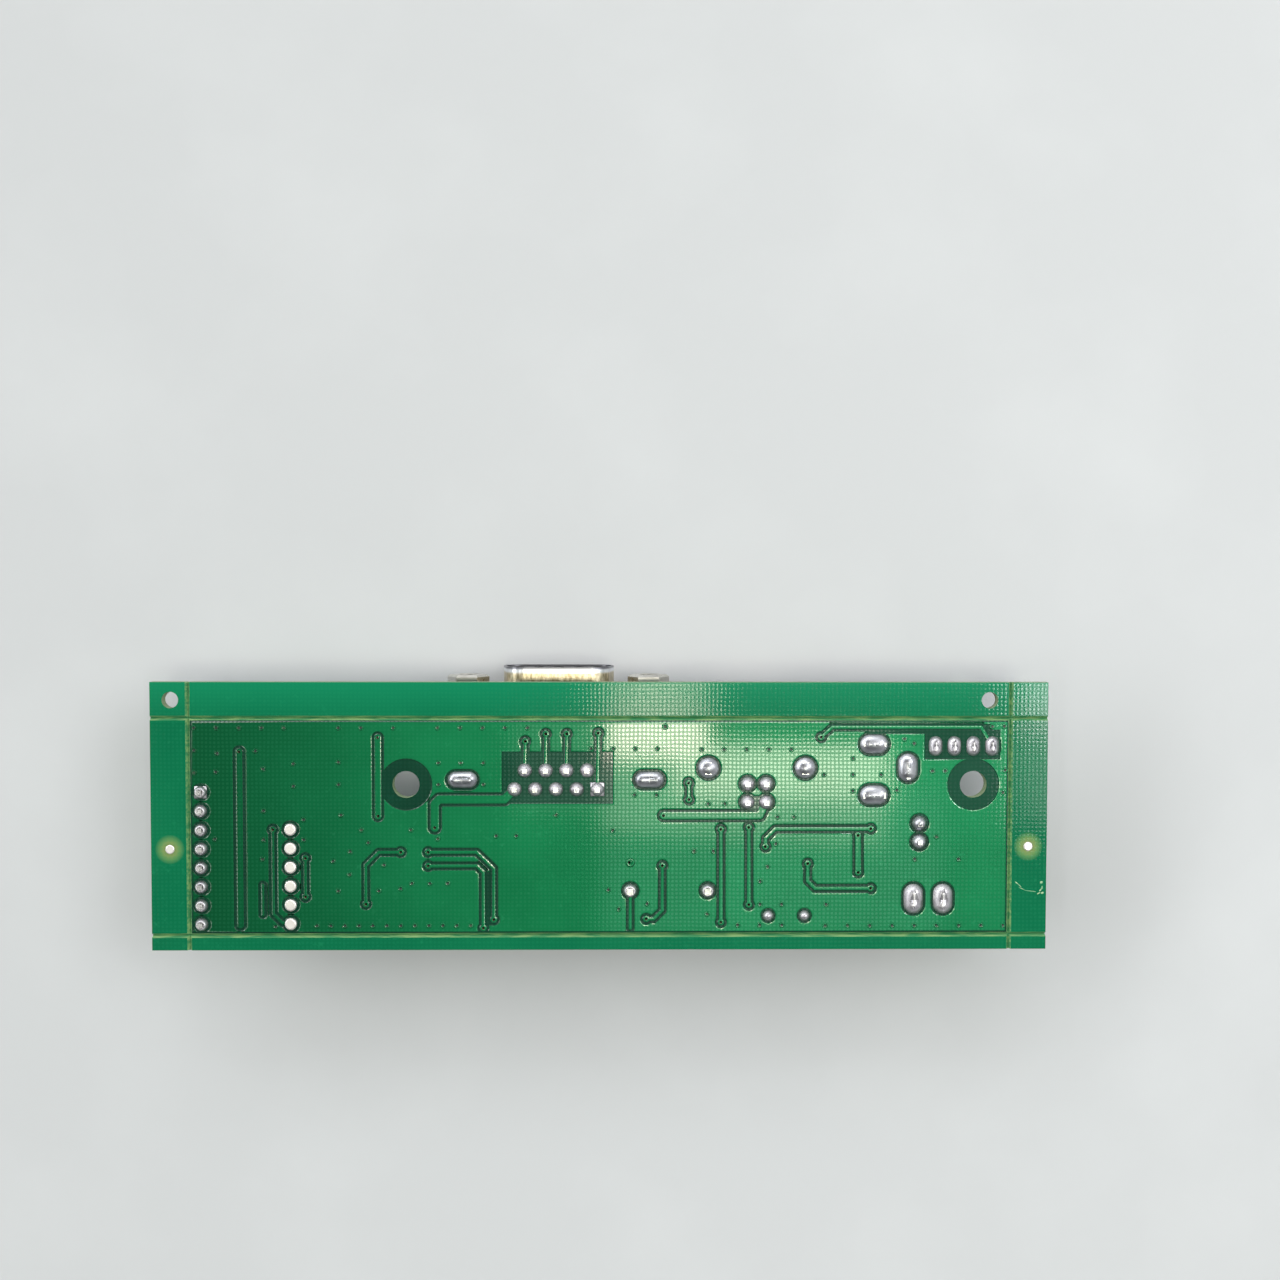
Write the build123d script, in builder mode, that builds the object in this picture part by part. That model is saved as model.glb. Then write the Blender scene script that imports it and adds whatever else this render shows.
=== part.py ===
from build123d import *
import math
import os

os.makedirs("parts", exist_ok=True)

# An interface board, lying solder side up on the connectors of its other side. Millimetres.
# +X runs along the board, +Y towards the edge of the serial connector, +Z out of the solder side.
# The origin is on the floor under the middle of the whole assembly.
# Places on the board are measured from the board's middle, and heights from the floor.

# ---- Panel: the board and the snap-off strips round it, one laminate ----
board_length = 120
board_width = 36
board_thickness = 1.6
# The layout is drawn on a grid of 120 columns and 36 rows, counted from the board's middle,
# which spreads with the board.
column = board_length / 120
row = board_width / 36
side_rail = 5
front_rail = 4.8
back_rail = 2
score_width = 0.7
score_depth = 0.5
copper_step = 0.06
pour_margin = 0.5
track_gap = 0.4
via_pad = 0.84
via_drill = 0.4
mounting_drill = 3.6
mounting_keepout = 7
mounting_left = -26 * column
mounting_right = 50 * column
mounting_setback = 8.9
tooling_drill = 2.2
tooling_setback = 2.4
tooling_left_setback = 2.7
tooling_right_setback = 7.85
fiducial = 1
fiducial_x = (board_length - side_rail) / 2
fiducial_places = [(-fiducial_x, -4.4 * row), (fiducial_x, -4.1 * row)]

# ---- Leads and joints ----
pin_pitch = 2.54
pin_size = 0.64
pin_hole = (1.0, 1.0)
pin_proud = 0.8
tab_proud = 0.5
slack = 0.1

# ---- Serial connector: nine-way, right-angled, with its sockets in two rows ----
serial_x = -6 * column
flange_width = 30.8
flange_height = 12.5
flange_thickness = 0.8
flange_lead = 0.5
shell_width = 16.3
shell_height = 8
shell_wall = 0.4
shell_depth = 6.05
shell_corner = 2.5
shell_slant = 10
contact_pitch = 2.77
contact_row_gap = 2.84
contact_width = 1.3
contact_bore = 1.0
first_row_setback = 7.5
insulator_gap = 0.3
insulator_height = 10.8
insulator_plate = 1.6
body_wall = 1.2
body_roof = 2
jackscrew_spacing = 24.99
jackscrew_width = 5
jackscrew_length = 4.9
jackscrew_stud = 2.84
jackscrew_tap = 2.4
flange_hole = 3.1
nut_thickness = 2
bracket_width = 5.4
bracket_sheet = 0.8
prong_gap = 0.6
prong_width = 0.8

# ---- Data socket: square, four contacts, two posts on its shell ----
socket_x = 20.9 * column
socket_reach = 3.7
socket_height = 10.9
socket_depth = 16.4
socket_wall = 0.4
post_spacing = 13
post_width = 1.6
post_thickness = 0.8
post_setback = 10.4
socket_pin_gap = 2.5
socket_pin_setback = 12.5
tongue_width = 5.6
tongue_height = 3.2
tongue_length = 8.2
strip_thickness = 0.4

# ---- Power jack: round plug, centre pin ----
jack_x = 36.65 * column
jack_width = 8.6
jack_height = 11
jack_bore = 6.4
jack_bore_depth = 10
jack_axis_drop = 6.3
jack_pin = 2
jack_pin_length = 9
jack_tab_width = 3
jack_tab_thickness = 0.8
jack_tab_setback = 14.05
jack_spring_setback = 7.2
jack_switch_setback = 10.35
jack_leaf = 0.5
jack_leaf_length = 4

# ---- Headers ----
main_pins = 8
main_setback = 1.65
main_end_setback = 1.51
header_base = 3.2
header_wall_height = 9
header_wall = 1
header_depth_outer = 1.45
header_depth_inner = 3
side_pins = 4
side_x_setback = 6.32
side_y_setback = 3.75
side_pin_length = 8.5
side_base = 2.54
supply_pitch = 3.96
supply_pin = 1.14
supply_x_setback = 10.97
supply_y_setback = 4.85
supply_depth = 8
supply_pin_length = 11.4
spare_holes = 6
spare_x = -41.45 * column
spare_end_setback = 1.57

# ---- Leaded parts ----
capacitor_x = 42.78 * column
capacitor_y = -2.2 * row
capacitor_diameter = 6.3
capacitor_length = 11.2
capacitor_pitch = 2.5
capacitor_lead = 0.6
capacitor_seal = 5
crystal_x = 24.93 * column
crystal_setback = 2.57
crystal_pitch = 4.88
crystal_length = 10.2
crystal_width = 3.8
crystal_height = 3.2
crystal_rim = 0.45
crystal_base = 0.5
crystal_lead = 0.44
diode_x = 9.15 * column
diode_y = -10 * row
diode_pitch = 10.4
diode_length = 5.2
diode_diameter = 2.7
diode_lead = 0.8

# ---- Surface-mounted parts ----
chip_standoff = 0.1
lead_sheet = 0.2
lead_arm = 0.4
controller_spot = (-0.5 * column, -4.7 * row)
controller_size = 7
controller_span = 9
controller_height = 1.4
controller_pitch = 0.8
controller_pin_count = 8
transceiver_spot = (-12 * column, -6.4 * row)
driver_spot = (-34.5 * column, -5 * row)
wide_chip_width = 7.5
wide_chip_span = 10.3
wide_chip_height = 2.3
wide_chip_pitch = 1.27
transceiver_pin_count = 8
driver_pin_count = 10
regulator_spot = (33.6 * column, -5 * row)
regulator_length = 6.5
regulator_width = 6.1
regulator_height = 2.2
regulator_tab = 1.2
regulator_pitch = 2.28
regulator_span = 11.5
chip_length = 2
chip_width = 1.25
chip_height = 0.8
end_cap = 0.4

# ---- Heights and edges that follow ----
board_bottom = flange_height
board_top = board_bottom + board_thickness
laminate_top = board_top - copper_step
board_y = -(shell_depth + flange_lead - front_rail) / 2
front_score = board_width / 2 - front_rail
back_score = back_rail - board_width / 2
left_score = side_rail - board_length / 2
right_score = board_length / 2 - side_rail
mounting_y = front_score - mounting_setback
tooling_y = board_width / 2 - tooling_setback
tooling_left = tooling_left_setback - board_length / 2
tooling_right = board_length / 2 - tooling_right_setback

flange_front = front_score + flange_lead
flange_back = flange_front - flange_thickness
shell_front = flange_front + shell_depth
insulator_back = flange_back - insulator_plate
insulator_width = jackscrew_spacing - bracket_width - 2 * insulator_gap
short_row_y = flange_front - first_row_setback
long_row_y = short_row_y - pin_pitch
lock_y = (short_row_y + long_row_y) / 2
serial_axis = flange_height / 2
long_row_z = serial_axis - contact_row_gap / 2
short_row_z = serial_axis + contact_row_gap / 2
long_row_x = [serial_x + contact_pitch * step for step in (-2, -1, 0, 1, 2)]
short_row_x = [serial_x + contact_pitch * step for step in (-1.5, -0.5, 0.5, 1.5)]
lock_x = [serial_x - jackscrew_spacing / 2, serial_x + jackscrew_spacing / 2]

panel_front = front_score + socket_reach
socket_back = panel_front - socket_depth
socket_width = post_spacing - post_thickness / 2
post_y = panel_front - post_setback
post_x = [socket_x - post_spacing / 2, socket_x + post_spacing / 2]
socket_row_y = [panel_front - socket_pin_setback, panel_front - socket_pin_setback - socket_pin_gap]
socket_pin_x = [socket_x - socket_pin_gap / 2, socket_x + socket_pin_gap / 2]
socket_middle = board_bottom - socket_height / 2

jack_tab_y = panel_front - jack_tab_setback
jack_back = jack_tab_y + jack_tab_thickness / 2
jack_spring_y = panel_front - jack_spring_setback
jack_switch_y = panel_front - jack_switch_setback
jack_switch_x = jack_x + jack_width / 2 + jack_leaf / 2
jack_axis = board_bottom - jack_axis_drop

main_x = left_score + main_setback
main_low = back_score + main_end_setback
main_y = main_low + pin_pitch * (main_pins - 1) / 2
main_spots = [(main_x, main_low + pin_pitch * step) for step in range(main_pins)]
side_x = right_score - side_x_setback
side_y = front_score - side_y_setback
side_low = side_x - pin_pitch * (side_pins - 1) / 2
side_spots = [(side_low + pin_pitch * step, side_y) for step in range(side_pins)]
supply_x = right_score - supply_x_setback
supply_y = back_score + supply_y_setback
supply_spots = [(supply_x + side * supply_pitch / 2, supply_y) for side in (-1, 1)]
spare_low = back_score + spare_end_setback
spare_spots = [(spare_x, spare_low + pin_pitch * step) for step in range(spare_holes)]
capacitor_spots = [(capacitor_x, capacitor_y + side * capacitor_pitch / 2) for side in (-1, 1)]
crystal_y = back_score + crystal_setback
crystal_spots = [(crystal_x + side * crystal_pitch / 2, crystal_y) for side in (-1, 1)]
diode_spots = [(diode_x + side * diode_pitch / 2, diode_y) for side in (-1, 1)]
long_spots = [(x, long_row_y) for x in long_row_x]
short_spots = [(x, short_row_y) for x in short_row_x]
socket_spots = [(x, y) for x in socket_pin_x for y in socket_row_y]
post_spots = [(x, post_y) for x in post_x]
lock_spots = [(x, lock_y) for x in lock_x]
mounting_spots = [(mounting_left, mounting_y), (mounting_right, mounting_y)]
# Lead one of each of these connectors has a square pad.
square_pads = [main_spots[-1], long_spots[-1]]

# Solder joints: size along X and Y, height, hole in the board, and places. Equal sizes are round.
joints = {
    "serial": (1.75, 1.75, 0.65, pin_hole, long_spots + short_spots),
    "main_header": (1.55, 1.55, 0.6, pin_hole, main_spots),
    "spare_hole": (1.64, 1.64, 0.3, pin_hole, spare_spots),
    "data_socket": (1.75, 1.75, 0.65, pin_hole, socket_spots),
    "capacitor": (1.9, 1.9, 0.7, pin_hole, capacitor_spots),
    "crystal": (1.25, 1.25, 0.6, (0.7, 0.7), crystal_spots),
    "diode": (1.7, 1.7, 0.65, (1.2, 1.2), diode_spots),
    "socket_post": (2.7, 2.7, 0.8, (2.3, 2.3), post_spots),
    "lock": (3.9, 2.1, 0.8, (3.0, 1.3), lock_spots),
    "side_header": (1.65, 2.5, 0.75, pin_hole, side_spots),
    "supply_header": (2.5, 3.9, 0.95, (1.8, 1.8), supply_spots),
    "jack_pin": (3.7, 2.5, 0.8, (3.4, 1.2), [(jack_x, jack_tab_y)]),
    "jack_spring": (3.7, 2.5, 0.8, (3.4, 1.2), [(jack_x, jack_spring_y)]),
    "jack_switch": (2.5, 3.7, 0.8, (1.2, 3.4), [(jack_switch_x, jack_switch_y)]),
}


def at(columns, rows):
    """A place on the layout grid."""
    return (columns * column, rows * row)


# Tracks on the solder side: width, then the route from end to end.
fine = 0.4
tracks = [
    (0.9, [at(-48.2, 8.7), at(-48.2, -14.6)]),
    (fine, [at(-43.8, -1.75), at(-43.8, -13.1), at(-42.6, -14.3), spare_spots[0]]),
    (fine, [at(-45.2, -9.2), at(-45.2, -13.2)]),
    (fine, [at(-39.5, -5.6), at(-39.5, -10.8)]),
    (fine, [at(-26.75, -4.8), at(-29.7, -4.8), at(-31.45, -6.55), at(-31.45, -11.8)]),
    (0.85, [at(-29.75, 10.6), at(-29.75, 0.05)]),
    (1.1, [long_spots[0], at(-12.9, 2.3), at(-21.6, 2.3), at(-22.2, 1.7), at(-22.2, -1.5)]),
    (fine, [at(-23.1, -4.8), at(-16.6, -4.8), at(-14.35, -7.0), at(-14.35, -13.9)]),
    (fine, [at(-23.1, -6.65), at(-16.6, -6.65), at(-15.75, -7.5), at(-15.75, -15.05)]),
    (fine, [short_spots[0], at(-10.1, 10.1)]),
    (fine, [short_spots[1], at(-7.35, 11.1)]),
    (fine, [short_spots[2], at(-4.55, 11.1)]),
    (fine, [long_spots[4], at(-0.35, 11.2)]),
    (fine, [at(11.75, 4.5), at(11.8, 2.25)]),
    (1.0, [at(8.4, 0.1), at(21.3, 0.1), socket_spots[3]]),
    (fine, [at(8.25, -6.65), at(8.25, -12.7), at(7.1, -13.85), at(6.1, -13.85)]),
    (fine, [diode_spots[0], at(3.95, -15.1)]),
    (0.45, [at(16.1, -1.75), at(16.15, -14.3)]),
    (0.45, [at(19.85, -1.5), at(19.9, -11.95)]),
    (0.45, [at(22.1, -4.1), at(22.1, -3.0), at(23.4, -1.7), at(36.25, -1.7)]),
    (0.75, [at(34.55, -2.6), at(34.6, -7.6)]),
    (0.45, [at(27.8, -6.4), at(27.8, -8.75), at(28.8, -9.75), at(36.3, -9.75)]),
    (fine, [at(29.5, 10.65), at(31.0, 12.0), at(51.0, 12.0), side_spots[3]]),
]
# Ends where a track simply stops; every other end has a joint or a via.
plain_ends = [at(-48.2, -14.6), at(-45.2, -9.2), at(-45.2, -13.2), at(3.95, -15.1)]
joint_spots = [spot for *_, spots in joints.values() for spot in spots]
track_ends = [end for _, route in tracks for end in (route[0], route[-1])]
track_vias = [end for end in track_ends if end not in joint_spots + plain_ends]
# Bare fields in the copper: middle and size.
bare_fields = [
    ((serial_x + 0.2, (long_row_y + short_row_y) / 2 + 0.3), (14.9, 7.0)),
    ((side_x - 0.2, side_y + 0.2), (10.2, 4.0)),
    (at(44.1, 11.75), (17.0, 1.3)),
    (at(-15.05, -11.1), (0.8, 7.2)),
    (((socket_pin_x[0] + socket_pin_x[1]) / 2, socket_row_y[1] - 0.2), (1.6, 2.2)),
]


def level(height):
    """A level plane at a height, with the board's middle as its origin."""
    return Plane(origin=(0, board_y, height))


def facing_front(y):
    """An upright plane across the board: local X and height, extruding towards the back."""
    return Plane(origin=(0, board_y + y, 0), x_dir=(1, 0, 0), z_dir=(0, -1, 0))


def facing_right(x):
    """An upright plane along Y: local Y and height, extruding towards +X."""
    return Plane(origin=(x, board_y, 0), x_dir=(0, 1, 0), z_dir=(1, 0, 0))


def strip(route, width, mode=Mode.ADD):
    """A band with round ends and corners along a route."""
    for start, end in zip(route, route[1:]):
        run = Vector(*end) - Vector(*start)
        turn = math.degrees(math.atan2(run.Y, run.X))
        with Locations((Vector(*start) + Vector(*end)) * 0.5):
            SlotCenterToCenter(run.length, width, rotation=turn, mode=mode)


def slot(size_x, size_y, mode=Mode.ADD):
    """A slot with round ends, lying along its longer side; a circle when the sides are equal."""
    if size_x > size_y:
        SlotOverall(size_x, size_y, mode=mode)
    elif size_y > size_x:
        SlotOverall(size_y, size_x, rotation=90, mode=mode)
    else:
        Circle(size_x / 2, mode=mode)


def joint_outline(size_x, size_y, spots):
    """The pads of a set of joints; lead one of some connectors is square."""
    for spot in spots:
        with Locations(spot):
            if spot in square_pads:
                Rectangle(size_x, size_y)
            else:
                slot(size_x, size_y)


def d_shape(width, height, corner):
    """The outline of the serial shell, its wide side away from the board."""
    lean = height * math.tan(math.radians(shell_slant))
    with BuildSketch() as outline:
        Polygon(
            (-width / 2, -height / 2), (width / 2, -height / 2),
            (width / 2 - lean, height / 2), (lean - width / 2, height / 2),
            align=None,
        )
        fillet(outline.vertices(), corner)
    return outline.sketch


def solder(names, tails, proud):
    """Mounds of solder round tails of a size, which stand proud of the board in or through them."""
    with BuildPart() as mounds:
        for name in names:
            size_x, size_y, height, _, spots = joints[name]
            with BuildPart(mode=Mode.PRIVATE) as group:
                with BuildSketch(level(board_top)):
                    joint_outline(size_x, size_y, spots)
                extrude(amount=height)
                rounding = min(0.4 * min(size_x, size_y), height - 0.05)
                fillet(group.edges().group_by(Axis.Z)[-1], rounding)
            add(group.part)
        if tails:
            with BuildSketch(level(board_top)):
                for spot, tail_x, tail_y in tails:
                    with Locations(spot):
                        Rectangle(tail_x, tail_y)
            extrude(amount=proud, mode=Mode.SUBTRACT)
    return mounds.part


def pin_block(spots, size, low, high):
    """Square pins standing at their places between two heights."""
    with BuildPart() as pins:
        with BuildSketch(level(low)):
            with Locations(*spots):
                Rectangle(size, size)
        extrude(amount=high - low)
    return pins.part


def save(part, name):
    """Label a finished piece and write its file."""
    part.label = name
    export_step(part, f"parts/{name}.step")


# ---- The board: laminate, copper pour and tracks, score lines and holes ----
pour_length = right_score - left_score - 2 * pour_margin
pour_width = front_score - back_score - 2 * pour_margin
pour_middle = (front_score + back_score) / 2
track_spread = 2 * track_gap

with BuildPart() as circuit_board:
    with BuildSketch(level(board_bottom)):
        Rectangle(board_length, board_width)
    extrude(amount=board_thickness - copper_step)

    # The copper stands a step above the bare laminate.
    with BuildSketch(level(laminate_top)):
        with Locations((0, pour_middle)):
            Rectangle(pour_length, pour_width)
        with Locations(*mounting_spots):
            Circle(mounting_keepout / 2, mode=Mode.SUBTRACT)
        for place, size in bare_fields:
            with Locations(place):
                Rectangle(*size, mode=Mode.SUBTRACT)
        for width, route in tracks:
            strip(route, width + track_spread, Mode.SUBTRACT)
        with Locations(*track_vias):
            Circle(via_pad / 2 + track_gap, mode=Mode.SUBTRACT)
        for size_x, size_y, _, _, spots in joints.values():
            with Locations(*spots):
                slot(size_x + track_spread, size_y + track_spread, Mode.SUBTRACT)
        for width, route in tracks:
            strip(route, width)
        with Locations(*track_vias):
            Circle(via_pad / 2)
        for size_x, size_y, _, _, spots in joints.values():
            joint_outline(size_x, size_y, spots)
        with Locations(*fiducial_places):
            Circle(fiducial / 2)
    extrude(amount=copper_step)

    # V-shaped score lines on both faces, where the strips snap off.
    with BuildSketch(facing_right(-board_length / 2)):
        for y in (front_score, back_score):
            for face, inward in ((board_top, -1), (board_bottom, 1)):
                Polygon(
                    (y - score_width / 2, face), (y + score_width / 2, face),
                    (y, face + inward * score_depth), align=None,
                )
    extrude(amount=board_length, mode=Mode.SUBTRACT)
    with BuildSketch(facing_front(board_width / 2)):
        for x in (left_score, right_score):
            for face, inward in ((board_top, -1), (board_bottom, 1)):
                Polygon(
                    (x - score_width / 2, face), (x + score_width / 2, face),
                    (x, face + inward * score_depth), align=None,
                )
    extrude(amount=board_width, mode=Mode.SUBTRACT)

    with BuildSketch(level(board_bottom)):
        with Locations(*mounting_spots):
            Circle(mounting_drill / 2)
        with Locations((tooling_left, tooling_y), (tooling_right, tooling_y)):
            Circle(tooling_drill / 2)
        with Locations(*track_vias):
            Circle(via_drill / 2)
        for _, _, _, hole, spots in joints.values():
            with Locations(*spots):
                slot(*hole)
    extrude(amount=board_thickness, mode=Mode.SUBTRACT)
save(circuit_board.part, "circuit_board")

# ---- Solder, one piece for each set of joints ----
def square_tails(spots, size):
    return [(spot, size, size) for spot in spots]


prong_step = (prong_gap + prong_width) / 2
prong_spots = [(x + side * prong_step, lock_y) for x in lock_x for side in (-1, 1)]
prongs = [(spot, prong_width, bracket_sheet) for spot in prong_spots]
posts = [(spot, post_thickness, post_width) for spot in post_spots]
jack_tabs = [
    ((jack_x, jack_tab_y), jack_tab_width, jack_tab_thickness),
    ((jack_x, jack_spring_y), jack_tab_width, jack_leaf),
    ((jack_switch_x, jack_switch_y), jack_leaf, jack_tab_width),
]
save(solder(["serial"], square_tails(long_spots + short_spots, pin_size), pin_proud), "serial_solder")
save(solder(["lock"], prongs, tab_proud), "bracket_solder")
save(solder(["main_header"], square_tails(main_spots, pin_size), pin_proud), "main_header_solder")
save(solder(["spare_hole"], [], 0), "spare_hole_solder")
save(solder(["side_header"], square_tails(side_spots, pin_size), tab_proud), "side_header_solder")
save(solder(["data_socket"], square_tails(socket_spots, pin_size), pin_proud), "data_socket_solder")
save(solder(["socket_post"], posts, tab_proud), "socket_post_solder")
save(solder(["jack_pin", "jack_spring", "jack_switch"], jack_tabs, tab_proud), "power_jack_solder")
save(solder(["supply_header"], square_tails(supply_spots, supply_pin), tab_proud), "supply_header_solder")
save(solder(["capacitor"], square_tails(capacitor_spots, capacitor_lead), pin_proud), "capacitor_solder")
save(solder(["crystal"], square_tails(crystal_spots, crystal_lead), tab_proud), "crystal_solder")
save(solder(["diode"], square_tails(diode_spots, diode_lead), pin_proud), "diode_solder")

# ---- Serial connector: drawn shell, insulator, contacts, rear body, brackets and jackscrews ----
with BuildPart() as serial_shell:
    with BuildSketch(facing_front(flange_front)):
        with Locations((serial_x, serial_axis)):
            Rectangle(flange_width, flange_height)
    extrude(amount=flange_thickness)
    fillet(serial_shell.edges().filter_by(Axis.Y), 0.8)
    with BuildSketch(facing_front(flange_front)):
        with Locations((serial_x, serial_axis)):
            add(d_shape(shell_width, shell_height, shell_corner))
    extrude(amount=-shell_depth)
    with BuildSketch(facing_front(shell_front)):
        with Locations((serial_x, serial_axis)):
            inner_width = shell_width - 2 * shell_wall
            inner_height = shell_height - 2 * shell_wall
            add(d_shape(inner_width, inner_height, shell_corner - shell_wall))
    extrude(amount=shell_depth + flange_thickness, mode=Mode.SUBTRACT)
    with BuildSketch(facing_front(flange_front)):
        with Locations(*[(x, serial_axis) for x in lock_x]):
            Circle(flange_hole / 2)
    extrude(amount=flange_thickness, mode=Mode.SUBTRACT)
save(serial_shell.part, "serial_shell")

long_mouths = [(x, long_row_z) for x in long_row_x]
short_mouths = [(x, short_row_z) for x in short_row_x]
plug_trim = 2 * (shell_wall + slack)
with BuildPart() as serial_insulator:
    with BuildSketch(facing_front(shell_front - 2 * slack)):
        with Locations((serial_x, serial_axis)):
            add(d_shape(shell_width - plug_trim, shell_height - plug_trim, shell_corner - plug_trim / 2))
    extrude(amount=shell_front - 2 * slack - flange_back)
    with BuildSketch(facing_front(flange_back)):
        with Locations((serial_x, serial_axis)):
            Rectangle(insulator_width, insulator_height)
    extrude(amount=insulator_plate)
    with BuildSketch(facing_front(shell_front)):
        with Locations(*(long_mouths + short_mouths)):
            Circle(contact_width / 2 + slack)
    extrude(amount=shell_front - insulator_back, mode=Mode.SUBTRACT)
save(serial_insulator.part, "serial_insulator")

contact_front = shell_front - 1


def serial_contact(x, height, row_y):
    """A socket that takes a pin, and its tail, bent up through the board."""
    with BuildPart() as contact:
        with BuildSketch(facing_front(contact_front)):
            with Locations((x, height)):
                Circle(contact_width / 2)
        extrude(amount=contact_front - insulator_back)
        with BuildSketch(facing_front(contact_front)):
            with Locations((x, height)):
                Circle(contact_bore / 2)
        extrude(amount=shell_depth, mode=Mode.SUBTRACT)
        with BuildSketch(facing_right(x - pin_size / 2)):
            with Locations(((insulator_back + row_y - pin_size / 2) / 2, height)):
                Rectangle(insulator_back - row_y + pin_size / 2, pin_size)
            with Locations((row_y, (height - pin_size / 2 + board_top + pin_proud) / 2)):
                Rectangle(pin_size, board_top + pin_proud - height + pin_size / 2)
        extrude(amount=pin_size)
    return contact.part


with BuildPart() as serial_contacts_long:
    for x in long_row_x:
        add(serial_contact(x, long_row_z, long_row_y))
save(serial_contacts_long.part, "serial_contacts_long")
with BuildPart() as serial_contacts_short:
    for x in short_row_x:
        add(serial_contact(x, short_row_z, short_row_y))
save(serial_contacts_short.part, "serial_contacts_short")

body_low = (flange_height - insulator_height) / 2
body_back = long_row_y - pin_pitch / 2
with BuildPart() as serial_body:
    with BuildSketch(facing_right(serial_x - insulator_width / 2)):
        with Locations(((insulator_back + body_back) / 2, (board_bottom + body_low) / 2)):
            Rectangle(insulator_back - body_back, board_bottom - body_low)
    extrude(amount=insulator_width)
    cavity_top = board_bottom - body_roof
    with BuildSketch(facing_right(serial_x - insulator_width / 2 + body_wall)):
        with Locations(((insulator_back - body_wall + body_back) / 2, (cavity_top + body_low) / 2)):
            Rectangle(insulator_back - body_wall - body_back, cavity_top - body_low)
    extrude(amount=insulator_width - 2 * body_wall, mode=Mode.SUBTRACT)
    with BuildSketch(level(cavity_top)):
        with Locations(*(long_spots + short_spots)):
            Rectangle(pin_size + 2 * slack, pin_size + 2 * slack)
    extrude(amount=body_roof, mode=Mode.SUBTRACT)
    with BuildSketch(facing_front(insulator_back)):
        with Locations(*(long_mouths + short_mouths)):
            Rectangle(pin_size + 2 * slack, pin_size + 2 * slack)
    extrude(amount=body_wall, mode=Mode.SUBTRACT)
save(serial_body.part, "serial_body")

with BuildPart() as serial_brackets:
    with BuildSketch(facing_front(flange_back)):
        with Locations(*[(x, flange_height / 2) for x in lock_x]):
            Rectangle(bracket_width, flange_height)
    extrude(amount=bracket_sheet)
    foot_back = lock_y - bracket_sheet * 2
    with BuildSketch(level(board_bottom)):
        with Locations(*[(x, (flange_back + foot_back) / 2) for x in lock_x]):
            Rectangle(bracket_width, flange_back - foot_back)
    extrude(amount=-bracket_sheet)
    with BuildSketch(facing_front(flange_back)):
        with Locations(*[(x, serial_axis) for x in lock_x]):
            Circle(flange_hole / 2)
    extrude(amount=bracket_sheet, mode=Mode.SUBTRACT)
    with BuildSketch(level(board_bottom)):
        with Locations(*prong_spots):
            Rectangle(prong_width, bracket_sheet)
    extrude(amount=board_thickness + tab_proud)
save(serial_brackets.part, "serial_brackets")

nut_back = flange_back - bracket_sheet - nut_thickness
with BuildPart() as jackscrews:
    with BuildSketch(facing_front(flange_front)):
        with Locations(*[(x, serial_axis) for x in lock_x]):
            RegularPolygon(jackscrew_width / 2, 6, major_radius=False)
    extrude(amount=-jackscrew_length)
    chamfer(jackscrews.faces().sort_by(Axis.Y)[-2:].edges(), 0.3)
    with BuildSketch(facing_front(flange_front)):
        with Locations(*[(x, serial_axis) for x in lock_x]):
            Circle(jackscrew_stud / 2)
    extrude(amount=flange_front - nut_back + 1)
    with BuildSketch(facing_front(flange_front + jackscrew_length)):
        with Locations(*[(x, serial_axis) for x in lock_x]):
            Circle(jackscrew_tap / 2)
    extrude(amount=jackscrew_length - 1, mode=Mode.SUBTRACT)
save(jackscrews.part, "jackscrews")

with BuildPart() as jackscrew_nuts:
    with BuildSketch(facing_front(flange_back - bracket_sheet)):
        with Locations(*[(x, serial_axis) for x in lock_x]):
            RegularPolygon(jackscrew_width / 2, 6, major_radius=False)
            Circle(jackscrew_stud / 2 + slack, mode=Mode.SUBTRACT)
    extrude(amount=nut_thickness)
save(jackscrew_nuts.part, "jackscrew_nuts")

# ---- Data socket: folded shell with two posts, moulded core with its tongue, four contacts ----
core_front = panel_front - tongue_length - 1
core_width = socket_width - 2 * socket_wall - 2 * slack
core_height = socket_height - 2 * socket_wall - 2 * slack
with BuildPart() as data_socket_shell:
    with BuildSketch(facing_front(panel_front)):
        with Locations((socket_x, socket_middle)):
            Rectangle(socket_width, socket_height)
    extrude(amount=socket_depth)
    fillet(data_socket_shell.edges().filter_by(Axis.Y).group_by(Axis.Z)[0], 1.5)
    with BuildSketch(facing_front(panel_front)):
        with Locations((socket_x, socket_middle)):
            Rectangle(socket_width - 2 * socket_wall, socket_height - 2 * socket_wall)
    extrude(amount=socket_depth - socket_wall, mode=Mode.SUBTRACT)
    with BuildSketch(level(board_bottom)):
        with Locations((socket_x, (socket_back + core_front) / 2 - socket_wall)):
            Rectangle(core_width, core_front - socket_back - 2 * socket_wall)
    extrude(amount=-socket_wall - slack, mode=Mode.SUBTRACT)
    with BuildSketch(level(socket_middle)):
        with Locations(*post_spots):
            Rectangle(post_thickness, post_width)
    extrude(amount=board_top + tab_proud - socket_middle)
save(data_socket_shell.part, "data_socket_shell")

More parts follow.
